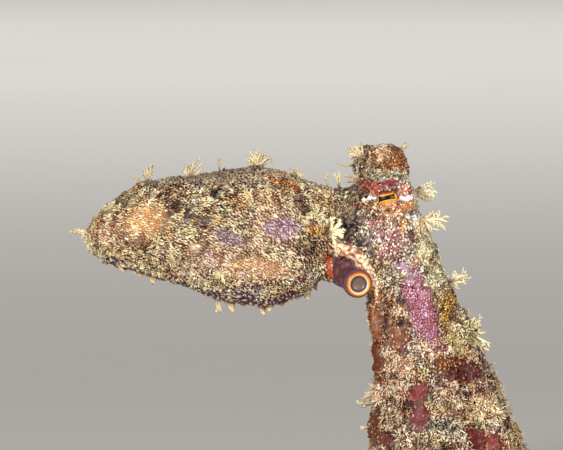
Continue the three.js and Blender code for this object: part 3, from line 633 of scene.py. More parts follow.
# For points on the body: skin tone, coat tone, cover, how many fingers and how large the granules are.
def markingsAt(points, normals, place):
    shares = sharesOf(points)
    wander, grain, fine = ripple(points, 9.0, 11), ripple(points, 2.4, 12), ripple(points, 1.3, 19)
    skin, coat = np.zeros((len(points), 3)), np.zeros((len(points), 3))
    cover = np.clip(1 + .12 * grain, .6, 1.4)
    fingers, grains = .25 * shares["column"], np.ones(len(points))
    for name in ("mantle", "head", "column", "arm"):
        skinA, skinB, coatA, coatB = tones(baseTones[name])
        skin += shares[name][:, None] * fade(skinA, skinB, ease(-.7, .7, wander + .5 * grain))
        coat += shares[name][:, None] * fade(coatA, coatB, ease(-.6, .9, wander + .5 * grain + .5 * fine))
    # the patches' edges wander, coarsely and finely
    warped = points.copy()
    for reach, sizes, seed in ((.36, (3.6, 3.2), 13), (.25, (1.3, 1.2), 15)):
        warped[:, 0] += reach * ripple(points, sizes[0], seed)
        warped[:, 2] += reach * ripple(points, sizes[1], seed + 1)
    warped[:, 2] -= markPlan["seenSlant"] * np.abs(points[:, 1])
    for patches, gate in ((mantlePatches, shares["mantle"]), (headPatches, 1 - shares["mantle"]),
                          (columnPatches, shares["column"] + shares["head"])):
        for x, z, long, high, turn, soft, skinTone, coatTone, patchCover, patchFingers, grainSize in patches:
            c, s = math.cos(math.radians(turn)), math.sin(math.radians(turn))
            dx, dz = warped[:, 0] - x, warped[:, 2] - z
            reach = np.hypot((dx * c + dz * s) / long, (dz * c - dx * s) / high)
            share = (1.0 - ease(1.0 - soft, 1.0 + soft * .6, reach)) * gate
            skin = fade(skin, tone(skinTone), share)
            coat = fade(coat, tone(coatTone), share)
            cover += (patchCover - cover) * share
            fingers += (patchFingers - fingers) * share
            grains += (grainSize - grains) * share
    # darker and barer spots, with a little lighter tops; on column and arms these follow the skin's own
    # relief lumps, so there the dips are painted shade and the tops painted light
    lumps = ripple(points, 5.5, 33) + 1.1 * ripple(points, 2.4, 34) + .4 * ripple(points, 1.1, 52)
    spots = ripple(points, 2.0, 51) + .8 * ripple(points, 1.1, 52)
    mottle = fade(spots[:, None], lumps[:, None], shares["column"] + shares["arm"])[:, 0]
    spotsAndDipShade = ease(-.1, -1.2, mottle) * np.clip(cover, 0, 1)
    skin *= (1 - markPlan["spotsAndDipShade"] * spotsAndDipShade)[:, None]
    coat = fade(coat, skin * 1.5, (.5 + .2 * shares["column"] + .25 * shares["head"]) * spotsAndDipShade)
    coat *= (1 + markPlan["height"] * ease(.3, 1.3, mottle))[:, None]
    cover *= 1 - markPlan["hollowCover"] * spotsAndDipShade
    # fine slanting flecks: some granules as dark as the skin, some skin as pale as the granules
    slant = points @ np.array([[.8, 0, 1.0], [0, 1, 0], [.6, 0, -1.4]])
    flecks = ease(.0, .8, ripple(slant, 1.7, 53) + .4 * ripple(points, .9, 54))
    dull = 1 - ease(-.7, .3, ripple(slant, 1.4, 55) + .5 * ripple(points, .8, 56))
    dull = dull * sum(markPlan["dull"][name] * shares[name] for name in markPlan["dull"]) * (fingers < .3)
    coat = fade(coat, skin * 1.15, dull)
    flecks = markPlan["fleck"] * flecks * (shares["head"] + .3 * shares["column"]) * ease(1.3, .4, cover)
    skin = fade(skin, coat * .95, flecks)
    # the rolled edge of the fold
    roll = ease(1.5, .9, foldDistance(points) + .25 * grain) * (1 - shares["column"])
    roll = roll * (points[:, 0] > zonePlan["mantleEnd"])
    skin = fade(skin, fade(*tones(markPlan["foldSkin"]), ease(-.7, .4, fine + .5 * grain)), roll)
    coat = fade(coat, tone(markPlan["foldCoat"]), roll)
    cover *= 1 - .8 * roll
    # the mantle's lower flanks and back bear more fingers, its belly is violet and nearly bare, and its
    # upward-facing back is darkened as painted shade
    upward = normals[:, 2]
    fringe = np.maximum(ease(-.35, -.6, upward) * ease(-.95, -.8, upward), .2 * ease(.5, .75, upward))
    fingers = np.maximum(fingers, .35 * fringe * shares["mantle"])
    below = shares["mantle"] * ease(-.72, -.95, upward + .12 * grain)
    skin = fade(skin, fade(*tones(markPlan["bellySkin"]), ease(-.6, .6, grain)), below)
    coat = fade(coat, tone(markPlan["bellyCoat"]), below)
    cover *= 1.0 - .9 * below
    # painted shade: the more the mantle faces up, the darker its skin and coat, and a few fewer granules
    above = shares["mantle"] * ease(.72, .95, upward + .1 * grain)
    skin = fade(skin, tone(markPlan["backShadeSkin"]), above * .8)
    coat = fade(coat, tone(markPlan["backShadeCoat"]), above * .65)
    cover *= 1 - .25 * above
    low = shares["arm"] > 0
    if low.any():
        paintArms(points, place, low, shares["arm"], skin, coat, cover, fingers)
    skin *= 1 - np.array(markPlan["redden"]) * (1 - skin.max(axis=1, keepdims=True))
    return skin, coat * markPlan["coatCast"], cover, fingers, grains


armPaint = {"band": 27.0, "bandSkin": ("6e4026", "40242a"), "bandCoat": ("b98f5e", "ded2a4"),
            "spot": 31.0, "spotLength": 2.6, "spotWidth": .62, "spotSkin": "7c3a3c",
            "under": ("b08c78", "9c7464")}


# The arms on the floor: bands of cream fingers, round dark red patches along the top, pale undersides.
def paintArms(points, place, inside, share, skin, coat, cover, fingers):
    along, turn = place["along"][inside], np.abs(place["round"][inside])
    flow = points[inside]
    low = share[inside]
    wave = np.sin(along * 2 * math.pi / armPaint["band"] + place["arm"][inside] * 1.7)
    band = ease(.0, .8, wave + .7 * ripple(flow, 7.0, 21))
    bandSkin = fade(*tones(armPaint["bandSkin"]), ease(-.5, .8, ripple(flow, 8.0, 22)))
    skin[inside] = fade(skin[inside], bandSkin, low)
    coat[inside] = fade(coat[inside], fade(*tones(armPaint["bandCoat"]), band), low)
    cover[inside] = cover[inside] * (1 - low) + low * (.35 + .75 * band)
    fingers[inside] = fingers[inside] * (1 - low) + low * (.1 + .9 * band)
    nextSpot = np.mod(along + place["arm"][inside] * 9.0, armPaint["spot"]) - armPaint["spot"] / 2
    spot = np.hypot(nextSpot / armPaint["spotLength"], turn / armPaint["spotWidth"])
    spot = (1.0 - ease(.8, 1.1, spot + .15 * ripple(flow, 2.5, 23))) * low
    skin[inside] = fade(skin[inside], tone(armPaint["spotSkin"]), spot)
    cover[inside] *= 1.0 - .9 * spot
    oral = ease(1.75, 2.2, turn) * low
    under = fade(*tones(armPaint["under"]), ease(-.6, .6, ripple(flow, 3.0, 24)))
    skin[inside] = fade(skin[inside], under, oral)
    cover[inside] *= 1.0 - ease(1.5, 1.9, turn) * low


# The funnel's own line, from under the mantle to its mouth.
funnelLine = np.array([(-11.0, -1.6, 57.0), (-8.2, -5.6, 55.6), (-6.4, -8.6, 54.4), (-5.6, -10.6, 53.8)])
funnelMouth, funnelLook = funnelLine[-1], unit(np.array([.22, -.95, -.14]))


def funnelPart(points):
    near = lineDistance(points, funnelLine) < 3.6
    near &= (points[:, 0] > zonePlan["mantleEnd"]) & (points[:, 1] < -2.0)
    return near & (foldDistance(points) > 1.45)


# How deep the skin lies under the solids, to leave room for the coat.
insetPlan = {"mantle": .45, "body": .4, "web": .15, "arm": .35, "armShare": .22, "fold": .05, "funnel": .02}


def insetOf(points, place, regions, onFunnel):
    depth = np.full(len(points), insetPlan["body"])
    depth[regions["mantle"]] = insetPlan["mantle"]
    onArm = place["out"] < place["radius"] * 1.3 + .6
    depth[(regions["column"] | regions["arm"]) & ~onArm] = insetPlan["web"]
    floor = regions["arm"] & onArm
    depth[floor] = np.minimum(insetPlan["arm"], insetPlan["armShare"] * place["radius"][floor])
    depth[onFunnel] = insetPlan["funnel"]
    depth[foldDistance(points) < 2.2] = insetPlan["fold"]
    return depth + skinPlan["swell"]


# Heights of the skin's relief, and the spacing of its pleats.
reliefPlan = {"soft": .16, "fine": .10, "lump": .30, "smallLump": .16, "brow": .35, "keel": .45, "slit": .9,
              "column": .20, "columnGap": 1.9, "eyeBag": .36, "eyeBagGap": 1.7, "neck": .25, "neckGap": 1.6}


# The rise and fall of the pleats called by this name.
def pleats(name, across, wander):
    return reliefPlan[name] * np.sin(2 * math.pi * across / reliefPlan[name + "Gap"] + wander)


# A soft hump, one at its middle.
def hump(x, middle, width):
    return np.exp(-((x - middle) / width) ** 2)


def reliefOf(points, regions, onFunnel):
    x, y, z = points.T
    rise = reliefPlan["soft"] * ripple(points, 5.0, 31) + reliefPlan["fine"] * ripple(points, 2.2, 32)
    lumps = reliefPlan["lump"] * ripple(points, 5.5, 33) + reliefPlan["smallLump"] * ripple(points, 2.4, 34)
    rise += lumps * (regions["column"] | regions["arm"]) * ease(2, 12, z)
    column = regions["column"] * (np.abs(y) > 2)
    rise += column * pleats("column", x - leanAt(z), 1.6 * ripple(points, 9.0, 37))
    underEye = hump(x, .5, 4.5) * hump(z, 65.0, 4.0) * regions["head"] * (np.abs(y) > 3)
    rise += underEye * pleats("eyeBag", z, 1.8 * ripple(points, 6.0, 35))
    neck = ease(-4.5, -7.5, x) * regions["head"]
    rise += neck * pleats("neck", x, 1.5 * ripple(points, 6.0, 36))
    rise += reliefPlan["brow"] * hump(x, .2, 5.0) * hump(z, 74.0, .9) * regions["head"] * (y < 0)
    around = np.abs(np.arctan2(y, zonePlan["mantleAxis"] - z))
    keel = hump(around, .62, .13) * ease(-55, -48, x) * ease(-12, -18, x)
    rise += reliefPlan["keel"] * keel * regions["mantle"]
    slit = hump(x, -7.6, 1.7) * ease(70.5, 66.5, z) * ease(59.5, 62.0, z) * (x > -10.0)
    rise -= reliefPlan["slit"] * slit * (np.abs(y) > 2.0)
    rise[onFunnel] = 0
    return rise


# Evens out the marked points, and those within two edges of them, until thin spikes are gone.
def relaxed(points, triangles, marked, rounds):
    edges = edgesOf(triangles)
    start, end = edges.T
    for _ in range(2):
        wider = marked.copy()
        wider[start[marked[end]]] = True
        wider[end[marked[start]]] = True
        marked = wider
    edges = edges[marked[start] | marked[end]]
    points = points.copy()
    for _ in range(rounds):
        points[marked] = neighbourMean(points, edges)[marked]
    return points


# The largest connected part alone.
def mainPart(points, triangles):
    label = np.arange(len(points))
    while True:
        least = label[triangles].min(axis=1)
        after = label.copy()
        for corner in range(3):
            np.minimum.at(after, triangles[:, corner], least)
        after = after[after]
        if (after == label).all():
            break
        label = after
    kept = triangles[label[triangles[:, 0]] == np.bincount(label).argmax()]
    used, index = np.unique(kept, return_inverse=True)
    return points[used], index.reshape(-1, 3)


floorGap = .04   # how far the soles stay above the floor


# The final skin: smoothed, drawn in under the coat, folded, and with thin spikes and turned faces evened out.
def sculptSkin(mesh):
    points, triangles = mainPart(pointsOf(mesh), trianglesOf(mesh))
    points = smoothed(points, triangles, skinPlan["smoothing"])
    normals = normalsOf(points, triangles)
    place = armPlaces(points)
    regions = regionsOf(points)
    onFunnel = funnelPart(points)
    rise = reliefOf(points, regions, onFunnel) - insetOf(points, place, regions, onFunnel)
    shape = points + normals * rise[:, None]
    sole = (points[:, 2] < 1.0) & (normals[:, 2] < -.5)
    shape[sole, 2] = floorGap
    shape[:, 2] = np.maximum(shape[:, 2], floorGap)
    turned = (unit(crossOf(shape, triangles)) * unit(crossOf(points, triangles))).sum(axis=1) < .2
    marked = np.zeros(len(points), bool)
    marked[triangles[turned]] = True
    marked &= points[:, 2] > 12
    rounder = relaxed(points, triangles, points[:, 2] > 45, 12)
    thin = ((points - rounder) * normals).sum(axis=1) > .3
    near = np.minimum(np.linalg.norm(points - nearEye, axis=1), np.linalg.norm(points - farEye, axis=1))
    thin &= (near > 4.9) & ~onFunnel & (foldDistance(points) > 2.6) & (points[:, 2] > 47)
    shape = smoothed(relaxed(relaxed(shape, triangles, thin, 300), triangles, marked, 60), triangles, 1)
    shape[:, 2] = np.maximum(shape[:, 2], floorGap)
    return meshFrom("skin", shape, triangles), shape, triangles


skinMesh, skinPoints, skinTriangles = sculptSkin(skinMesh)
skinNormals = normalsOf(skinPoints, skinTriangles)
skinPlace = armPlaces(skinPoints)
skinTone, coatTone, skinCover, _, skinGrains = markingsAt(skinPoints, skinNormals, skinPlace)
funnelShare = funnelPart(skinPoints)
mixed = ease(.2, .9, ripple(skinPoints[funnelShare], 2.0, 41))
skinTone[funnelShare] = fade(*tones(("52302f", "70484e")), mixed)
skinCover[funnelShare] = 0
paint(skinMesh, "markings", skinTone)
skin = newPiece("skin", skinMesh)
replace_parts(skin, *[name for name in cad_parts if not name.startswith("eye")])
print("skin:", len(skinTriangles), "faces")

# For each zone: the gap between granules, their size, how many of them are fingers and how long those are.
coatPlan = {"mantle": (.38, .55, .5, .6), "head": (.38, .53, .3, 1.0),
            "column": (.37, .52, .22, 1.3), "arm": (.74, .92, .14, 2.0)}
# How the coat varies from one granule to the next. Each has a patch of this width on the laid-out skin.
coatSpread = {"crowd": 5.0, "patch": .003, "large": .08, "largeBy": 1.4, "tint": .19, "warmth": .045,
              "rough": .22, "fan": 3, "fingerThick": (.20, .34), "fingerLong": (.55, 1.35), "droop": .12}


def granuleShape():
    made = bmesh.new()
    bmesh.ops.create_icosphere(made, subdivisions=1, radius=1.0)
    bmesh.ops.transform(made, matrix=Matrix.Translation((0, 0, .25)), verts=made.verts)
    return arraysOf(made)


# A cone cut across its length, so that it can bend.
def cutCone(segments, tip, cuts):
    made = bmesh.new()
    bmesh.ops.create_cone(made, segments=segments, radius1=1.0, radius2=tip, depth=1.0, cap_ends=True,
                          cap_tris=False)
    bmesh.ops.transform(made, matrix=Matrix.Translation((0, 0, .5)), verts=made.verts)
    long = [edge for edge in made.edges if abs(edge.verts[0].co.z - edge.verts[1].co.z) > .5]
    bmesh.ops.subdivide_edges(made, edges=long, cuts=cuts, use_grid_fill=False)
    return made


def fingerShape():
    made = cutCone(5, .5, 2)
    for vert in made.verts:
        if vert.co.z > .99:
            vert.co.x *= .6
            vert.co.y *= .6
    return arraysOf(made)


# A pointed flap, a little narrower half way up.
def flapShape():
    made = cutCone(8, .12, 4)
    for vert in made.verts:
        narrow = 1 - .2 * math.sin(math.pi * vert.co.z)
        vert.co.x *= narrow
        vert.co.y *= narrow
    return arraysOf(made)


def arraysOf(made):
    bmesh.ops.triangulate(made, faces=made.faces)
    made.verts.index_update()
    return (np.array([vert.co[:] for vert in made.verts]),
            np.array([[vert.index for vert in face.verts] for face in made.faces]))


granule, finger, flap = granuleShape(), fingerShape(), flapShape()


# Points on the skin, thinned so that no two are nearer than their gap.
def spread(inside, gaps, crowd, seed):
    draw = np.random.default_rng(seed)
    picked = np.nonzero(inside[skinTriangles].all(axis=1))[0]
    area = np.linalg.norm(crossOf(skinPoints, skinTriangles[picked]), axis=1) / 2
    want = crowd * area / gaps[skinTriangles[picked]].mean(axis=1) ** 2
    number = draw.poisson(want)
    owner = np.repeat(np.arange(len(picked)), number)
    a, b = draw.random(len(owner)), draw.random(len(owner))
    flip = a + b > 1
    a[flip], b[flip] = 1 - a[flip], 1 - b[flip]
    share = np.column_stack([1 - a - b, a, b])
    face = skinTriangles[picked[owner]]
    at = (skinPoints[face] * share[..., None]).sum(axis=1)
    facing = unit((skinNormals[face] * share[..., None]).sum(axis=1))
    room = (gaps[face] * share).sum(axis=1)
    tree = kdtree.KDTree(len(at))
    for i, p in enumerate(at):
        tree.insert(p, i)
    tree.balance()
    gone = np.zeros(len(at), bool)
    kept = []
    for i in range(len(at)):
        if gone[i]:
            continue
        kept.append(i)
        for _, j, _ in tree.find_range(at[i], room[i]):
            gone[j] = True
    kept = np.array(kept)
    return at[kept], facing[kept]


# The way the coat lies: toward the head on the mantle, down on the head, outward on the arms, a bit astray.
def layAt(points, normals, place, seed):
    draw = np.random.default_rng(seed)
    along = place["ahead"].copy()
    x = points[:, 0]
    fall = (.3 + .8 * ease(-42, -14, x)) * ease(.9, .3, normals[:, 2])
    shares = sharesOf(points)
    lie = np.column_stack([np.ones(len(x)), np.zeros(len(x)), -fall])
    along = (shares["mantle"][:, None] * lie + shares["head"][:, None] * np.array([.3, 0, -1])
             + (shares["column"] + shares["arm"])[:, None] * along)
    along = unit(along - (along * normals).sum(axis=1)[:, None] * normals)
    across = np.cross(normals, along)
    angle = draw.normal(0, .33 + .55 * (1 - shares["mantle"]), len(points))[:, None]
    along = along * np.cos(angle) + across * np.sin(angle)
    return along, np.cross(normals, along)


# Where a root lies on the skin laid flat: round and along the mantle, the column or the arm it grows on.
def flatPlace(points, place):
    regions = regionsOf(points)
    x, y, z = points.T
    turn = np.arctan2(y, z - zonePlan["mantleAxis"]) / (2 * math.pi) + .5
    flat = np.column_stack([(x + 64) / 60, turn])
    upper = regions["head"] | regions["column"]
    middle = np.where(z > zonePlan["headLow"], 1.0, leanAt(z))
    around = np.arctan2(y, x - middle) / (2 * math.pi) + .5
    flat[upper] = np.column_stack([around, (z - 15) / 70])[upper]
    lower = regions["arm"]
    strip = np.column_stack([place["along"] / 300, (place["arm"] + place["round"] / (2 * math.pi) + .5) / 8])
    flat[lower] = strip[lower]
    return np.clip(flat, .004, .996)


pieceLimit = 199000   # triangles in one piece


# Copies of one shape on roots: each has three axes, three sizes, a bend, a root tone and a tip tone.
def coatPieces(name, shape, items, material, gradient=(.38, .95)):
    corners, faces = shape
    most = pieceLimit // len(faces)
    count = len(items["root"])
    draw = np.random.default_rng(count)
    pieces = []
    for number, start in enumerate(range(0, count, most)):
        part = {key: value[start:start + most] for key, value in items.items()}
        local = corners[None] * part["size"][:, None, :]
        rough = draw.normal(0, coatSpread["rough"], local.shape[:2] + (1,))
        local += corners[None] * (part["size"].min(axis=1)[:, None, None] * rough)
        bent = part["bend"][:, None, :] * (corners[None, :, 2:3] ** 2) * part["size"][:, None, 2:3]
        points = (part["root"][:, None] + local[..., 0:1] * part["along"][:, None]
                  + local[..., 1:2] * part["across"][:, None] + local[..., 2:3] * part["up"][:, None] + bent)
        above = points[..., 2].min(axis=1) > 0   # none goes into the floor
        points, part = points[above], {key: value[above] for key, value in part.items()}
        height = (corners[:, 2] - corners[:, 2].min()) / np.ptp(corners[:, 2])
        paler = np.broadcast_to(ease(*gradient, height), points.shape[:2])
        colours = fade(part["rootTone"][:, None], part["tipTone"][:, None], paler)
        index = faces[None] + (np.arange(len(points)) * len(corners))[:, None, None]
        mesh = meshFrom(f"{name}{number + 1}", points.reshape(-1, 3), index.reshape(-1, 3))
        paint(mesh, "markings", colours.reshape(-1, 3))
        patch = part["flat"][:, None] + corners[None, :, :2] * (coatSpread["patch"] / 2)
        layer = mesh.uv_layers.new(name="OFBake")
        layer.data.foreach_set("uv", patch.reshape(-1, 2)[index.reshape(-1)].astype(np.float32).ravel())
        mesh.materials.append(material)
        pieces.append(newPiece(f"{name}{number + 1}", mesh))
    print(name + ":", count, "copies in", len(pieces), "pieces")


# The four values of coatPlan at each point, blended where zones meet.
def sizesAt(points):
    shares = sharesOf(points)
    return sum(shares[name][:, None] * np.array(coatPlan[name]) for name in coatPlan).T


# The coat of one zone: granules, and fingers in fans where the markings ask for them.
def dress(name, inside, seed, material):
    gaps = sizesAt(skinPoints)[0] * skinGrains / np.sqrt(np.clip(skinCover, .02, 1.6))
    at, facing = spread(inside & (skinCover > .04), gaps, coatSpread["crowd"], seed)
    _, size, fingerShare, reach = sizesAt(at)
    place = armPlaces(at)
    skinAt, coatAt, _, fingersAt, grainsAt = markingsAt(at, facing, place)
    size = size * grainsAt
    along, across = layAt(at, facing, place, seed + 1)
    draw = np.random.default_rng(seed + 2)
    scale = size * draw.uniform(.72, 1.28, len(at)) * (1 + .15 * ripple(at, 3.0, seed + 3))
    onMantle, onHead = sharesOf(at)["mantle"], sharesOf(at)["head"]
    large = draw.random(len(at)) < coatSpread["large"] * (1 + .6 * onHead)
    scale *= np.where(large, coatSpread["largeBy"], 1.0)
    long = scale * draw.uniform(1.0 + .1 * onMantle, 1.7 - .15 * onMantle)
    long = long * (1 + .2 * onMantle * ease(.8, .2, facing[:, 2]))
    standing = draw.random(len(at)) < np.clip(fingersAt, 0, 1.2) * fingerShare
    tint = draw.normal(0, coatSpread["tint"], len(at)) + .10 * ripple(at, 1.5, seed + 4)
    # some are nearly as dark as the skin, some paler with the palest whitened as a painted highlight, some
    # warmer
    coatAt = fade(coatAt, skinAt * 1.2, np.clip(-1.6 * tint, 0, .7)) * (1 + np.clip(tint, 0, .5))[:, None]
    coatAt = fade(coatAt, coatAt.max(axis=1, keepdims=True), .25 * ease(.15, .45, tint))
    warmth = draw.normal(0, coatSpread["warmth"], len(at)) + .04 * ripple(at, 2.2, seed + 5)
    warm = 1 + np.array([1, -.2, -1.4]) * warmth[:, None]
    high = scale * (.46 - .12 * onHead)
    rows = {"root": at, "along": along, "across": across, "up": facing, "bend": np.zeros_like(at),
            "size": np.column_stack([long * .5, scale * (.42 - .05 * onMantle), high]),
            # painted shade: each granule runs from the skin's tone, darkened, at its root to its coat tone at
            # the tip
            "rootTone": skinAt * (.75 + .15 * onMantle)[:, None] * (1, .94, .9),
            "tipTone": np.clip(coatAt * warm, 0, 1), "flat": flatPlace(at, place)}
    flat = {key: value[~standing] for key, value in rows.items()}
    coatPieces(name + "Granules", granule, flat, material)
    if standing.any():
        fan = coatSpread["fan"]
        own = np.repeat(np.nonzero(standing)[0], fan)
        number = len(own)
        along, across, facing = along[own], across[own], facing[own]
        turn = (np.arange(number) % fan) * 2 * math.pi / fan + draw.uniform(0, 2 * math.pi, number)
        apart = along * np.cos(turn)[:, None] + across * np.sin(turn)[:, None]
        apart = apart * draw.uniform(.2, .75, number)[:, None]
        up = unit(facing + along * draw.normal(.25, .3, number)[:, None] + apart)
        size, reach = size[own], reach[own]
        thick = size * draw.uniform(*coatSpread["fingerThick"], number)
        long = reach * draw.uniform(*coatSpread["fingerLong"], number)
        rows = {key: value[own] for key, value in rows.items()}
        rows.update({"root": rows["root"] + apart * (.2 * size)[:, None], "up": up,
                     "along": unit(np.cross(across, up)),
                     "size": np.column_stack([thick, thick, long]),
                     "bend": apart * draw.normal(.2, .3, number)[:, None] - (0, 0, coatSpread["droop"]),
                     "tipTone": np.clip(rows["tipTone"] * 1.08, 0, 1)})
        rows["across"] = np.cross(rows["up"], rows["along"])
        coatPieces(name + "Fingers", finger, rows, material, (.0, .75))


# Branched papillae that break the outline: where each is rooted, how thick it is, and where its stems end.
tuftTable = [
    (-59.5, 63.7, .34, [(-63.1, 63.7), (-61.4, 64.1), (-60.6, 63.2)]),
    (-59.4, 62.0, .30, [(-60.6, 62.8), (-60.4, 61.4), (-59.7, 60.0)]),
    (-47.7, 74.0, .22, [(-50.5, 74.3), (-48.4, 75.8), (-47.7, 76.3), (-46.5, 77.3)]),
    (-39.3, 73.4, .25, [(-40.6, 75.7), (-40.3, 76.3), (-39.6, 76.7), (-38.8, 77.4), (-37.3, 78.0),
                        (-37.2, 75.9)]),
    (-33.2, 76.0, .18, [(-33.6, 78.4)]),
    (-25.5, 76.8, .36, [(-27.5, 77.9), (-26.9, 79.4), (-25.8, 79.7), (-24.6, 78.9), (-23.9, 79.0),
                        (-23.5, 78.0), (-26.3, 78.6)]),
    (-18.6, 75.1, .20, [(-19.3, 76.4)]), (-16.3, 73.9, .28, [(-17.6, 75.8), (-18.6, 76.1)]),
    (-11.2, 74.0, .18, [(-11.8, 74.9)]), (-9.6, 74.0, .18, [(-9.4, 75.2), (-10.2, 74.9)]),
    (-53.2, 57.1, .28, [(-52.5, 55.7)]), (-51.3, 56.3, .34, [(-50.3, 55.6)]),
    (-48.5, 55.4, .20, [(-49.3, 54.7)]),
    (-34.9, 51.7, .24, [(-35.8, 50.4)]), (-33.9, 50.6, .34, [(-33.8, 47.6)]),
    (-5.1, 79.1, .26, [(-7.6, 79.9), (-7.1, 78.9), (-6.2, 80.6), (-4.9, 81.1), (-6.8, 80.0)]),
    (3.1, 80.6, .40, [(4.2, 81.1), (3.8, 80.4)]), (-7.2, 76.3, .22, [(-9.2, 76.7)]),
    (-5.6, 74.4, .24, [(-7.8, 73.6), (-7.4, 74.8), (-6.6, 75.2)]),
    (7.1, 72.0, .22, [(8.2, 73.7), (9.4, 73.4), (10.1, 72.0), (9.8, 71.3), (9.4, 70.4), (8.7, 69.7)]),
    (8.5, 67.1, .26, [(10.5, 67.6), (12.2, 66.7), (11.8, 64.7), (10.6, 65.6), (9.8, 64.1)]),
    (10.1, 57.9, .26, [(11.1, 58.6)]),
    (12.8, 53.7, .24, [(14.5, 55.1), (15.9, 55.4), (16.7, 55.0), (16.7, 54.1), (15.7, 53.4), (14.2, 52.3)]),
    (16.5, 44.0, .24, [(19.1, 46.7), (18.8, 45.0), (19.3, 43.3), (20.5, 41.3), (19.8, 40.2), (17.6, 46.6)]),
    (-2.8, 43.8, .30, [(-3.4, 44.1)]), (-2.4, 40.8, .50, [(-3.2, 41.4), (-3.0, 40.4), (-2.9, 39.4)]),
    (-1.6, 32.0, .30, [(-2.7, 33.0), (-5.0, 30.3), (-4.0, 31.4)]), (-2.8, 28.7, .50, [(-5.7, 29.3)]),
    (-1.6, 23.6, .26, [(-3.5, 24.7), (-2.6, 22.6), (-2.0, 22.0)]), (-4.0, 24.0, .30, [(-5.0, 24.7)]),
]
# Pointed flaps along the mantle's lower keel: the two ends of the base and the point.
flapTable = [
    ((-54.6, 57.9), (-52.6, 57.1), (-52.8, 55.4)), ((-52.4, 57.0), (-50.2, 56.2), (-50.2, 55.0)),
    ((-49.6, 56.2), (-48.2, 55.6), (-49.6, 54.3)), ((-48.0, 56.0), (-45.4, 55.0), (-47.1, 52.9)),
    ((-35.8, 51.4), (-34.4, 51.0), (-35.9, 50.1)), ((-34.5, 51.2), (-33.1, 50.8), (-33.7, 47.3)),
    ((-32.7, 50.4), (-30.2, 49.8), (-31.2, 47.2)), ((-29.6, 49.8), (-27.8, 49.4), (-28.9, 48.4)),
    ((-26.2, 49.6), (-24.0, 49.0), (-24.9, 46.5)), ((-23.8, 49.2), (-21.6, 49.8), (-23.9, 47.5)),
    ((-20.3, 50.6), (-17.3, 51.6), (-21.0, 48.7)), ((-17.4, 52.0), (-14.9, 53.2), (-15.9, 49.8)),
    ((-15.2, 53.2), (-13.6, 54.0), (-14.3, 51.8)),
]
tuftPlan = {"pale": "ecdaac", "firstStar": "eee2b4", "star": "d2c090",
            "flapRoot": "6e4e42", "flapTip": "d8bc8c", "flapThick": .32,
            "twigGap": .45, "twigLong": (.35, .6), "twigThin": .72}
rowKeys = ("root", "up", "along", "across", "size", "bend", "rootTone", "tipTone", "flat")
# Petals that stand out from one root like a star: where it is rooted, how thick they are, and where they end.
starTable = [
    (-11.0, 63.3, .42, [(-13.4, 62.6), (-13.2, 64.4), (-12.2, 65.9), (-10.8, 66.4), (-9.3, 65.6),
                        (-8.4, 64.2), (-8.8, 62.4), (-10.2, 61.2), (-12.0, 60.8), (-11.6, 62.2),
                        (-10.1, 64.4)]),
    (-14.2, 66.4, .24, [(-15.6, 66.0), (-15.0, 67.4), (-13.8, 67.9), (-13.0, 66.8), (-13.6, 65.4)]),
    (-27.4, 71.0, .22, [(-28.8, 71.2), (-28.0, 72.2), (-26.8, 72.0), (-26.6, 70.4), (-27.8, 69.9)]),
    (-32.8, 55.2, .32, [(-34.4, 55.0), (-33.6, 56.6), (-32.2, 56.4), (-31.4, 55.0), (-32.4, 53.6),
                        (-33.8, 53.8)]),
    (-45.4, 61.0, .22, [(-46.9, 60.2), (-46.4, 62.0), (-45.0, 62.4), (-44.2, 61.2), (-45.4, 59.6)]),
]


# The skin point nearest to a place on the side view: on its outline (side 0), the near flank (-1) or the far.
def rootAt(x, z, side=0):
    depth = .3 * skinPoints[:, 1] if side == 0 else np.where(skinPoints[:, 1] * side > 2, 0, 9)
    return int(np.argmin((skinPoints[:, 0] - x) ** 2 + (skinPoints[:, 2] - z) ** 2 + depth ** 2))


# Where one point of the skin lies on the flat.
def flatOf(i):
    return flatPlace(skinPoints[i:i + 1], {key: value[i:i + 1] for key, value in skinPlace.items()})[0]


def addRow(rows, *values):
    for key, value in zip(rowKeys, values):
        rows[key].append(value)


# A stem with side twigs, and twigs on those for as many rounds as are left.
def branch(rows, base, end, thick, tonePair, flat, draw, rounds):
    up = end - base
    length = float(np.linalg.norm(up))
    along = unit(np.cross(up / length, np.array([.3, .9, .2])))
    stem = (thick * 1.25, thick * 1.25, length)
    bend = draw.normal(0, .12, 3)
    addRow(rows, base, up / length, along, np.cross(up / length, along), stem, bend, *tonePair, flat)
    if rounds == 0 or length < .7:
        return
    for share in np.arange(.35, .95, tuftPlan["twigGap"] / length):
        way = unit(unit(up) + draw.normal(0, .75, 3) * np.array([1, .7, 1]))
        start = base + up * share
        twig = way * draw.uniform(*tuftPlan["twigLong"]) * min(length, 1.7)
        branch(rows, start, start + twig, thick * tuftPlan["twigThin"], (tonePair[1] * .85, tonePair[1]),
               flat, draw, rounds - 1)


def addTufts(rows, draw):
    for x, z, thick, ends in tuftTable:
        i = rootAt(x, z)
        root = skinPoints[i]
        for endX, endZ in ends:
            lean = np.array([endX - root[0], draw.normal(-.1, .35), endZ - root[2]])
            base = root - skinNormals[i] * .2 + lean * .12
            pale = np.clip(fade(coatTone[i], tone(tuftPlan["pale"]), .6) * draw.uniform(.85, 1.12), 0, 1)
            branch(rows, base, root + lean, thick, (skinTone[i] * .6 + pale * .2, pale), flatOf(i), draw, 2)


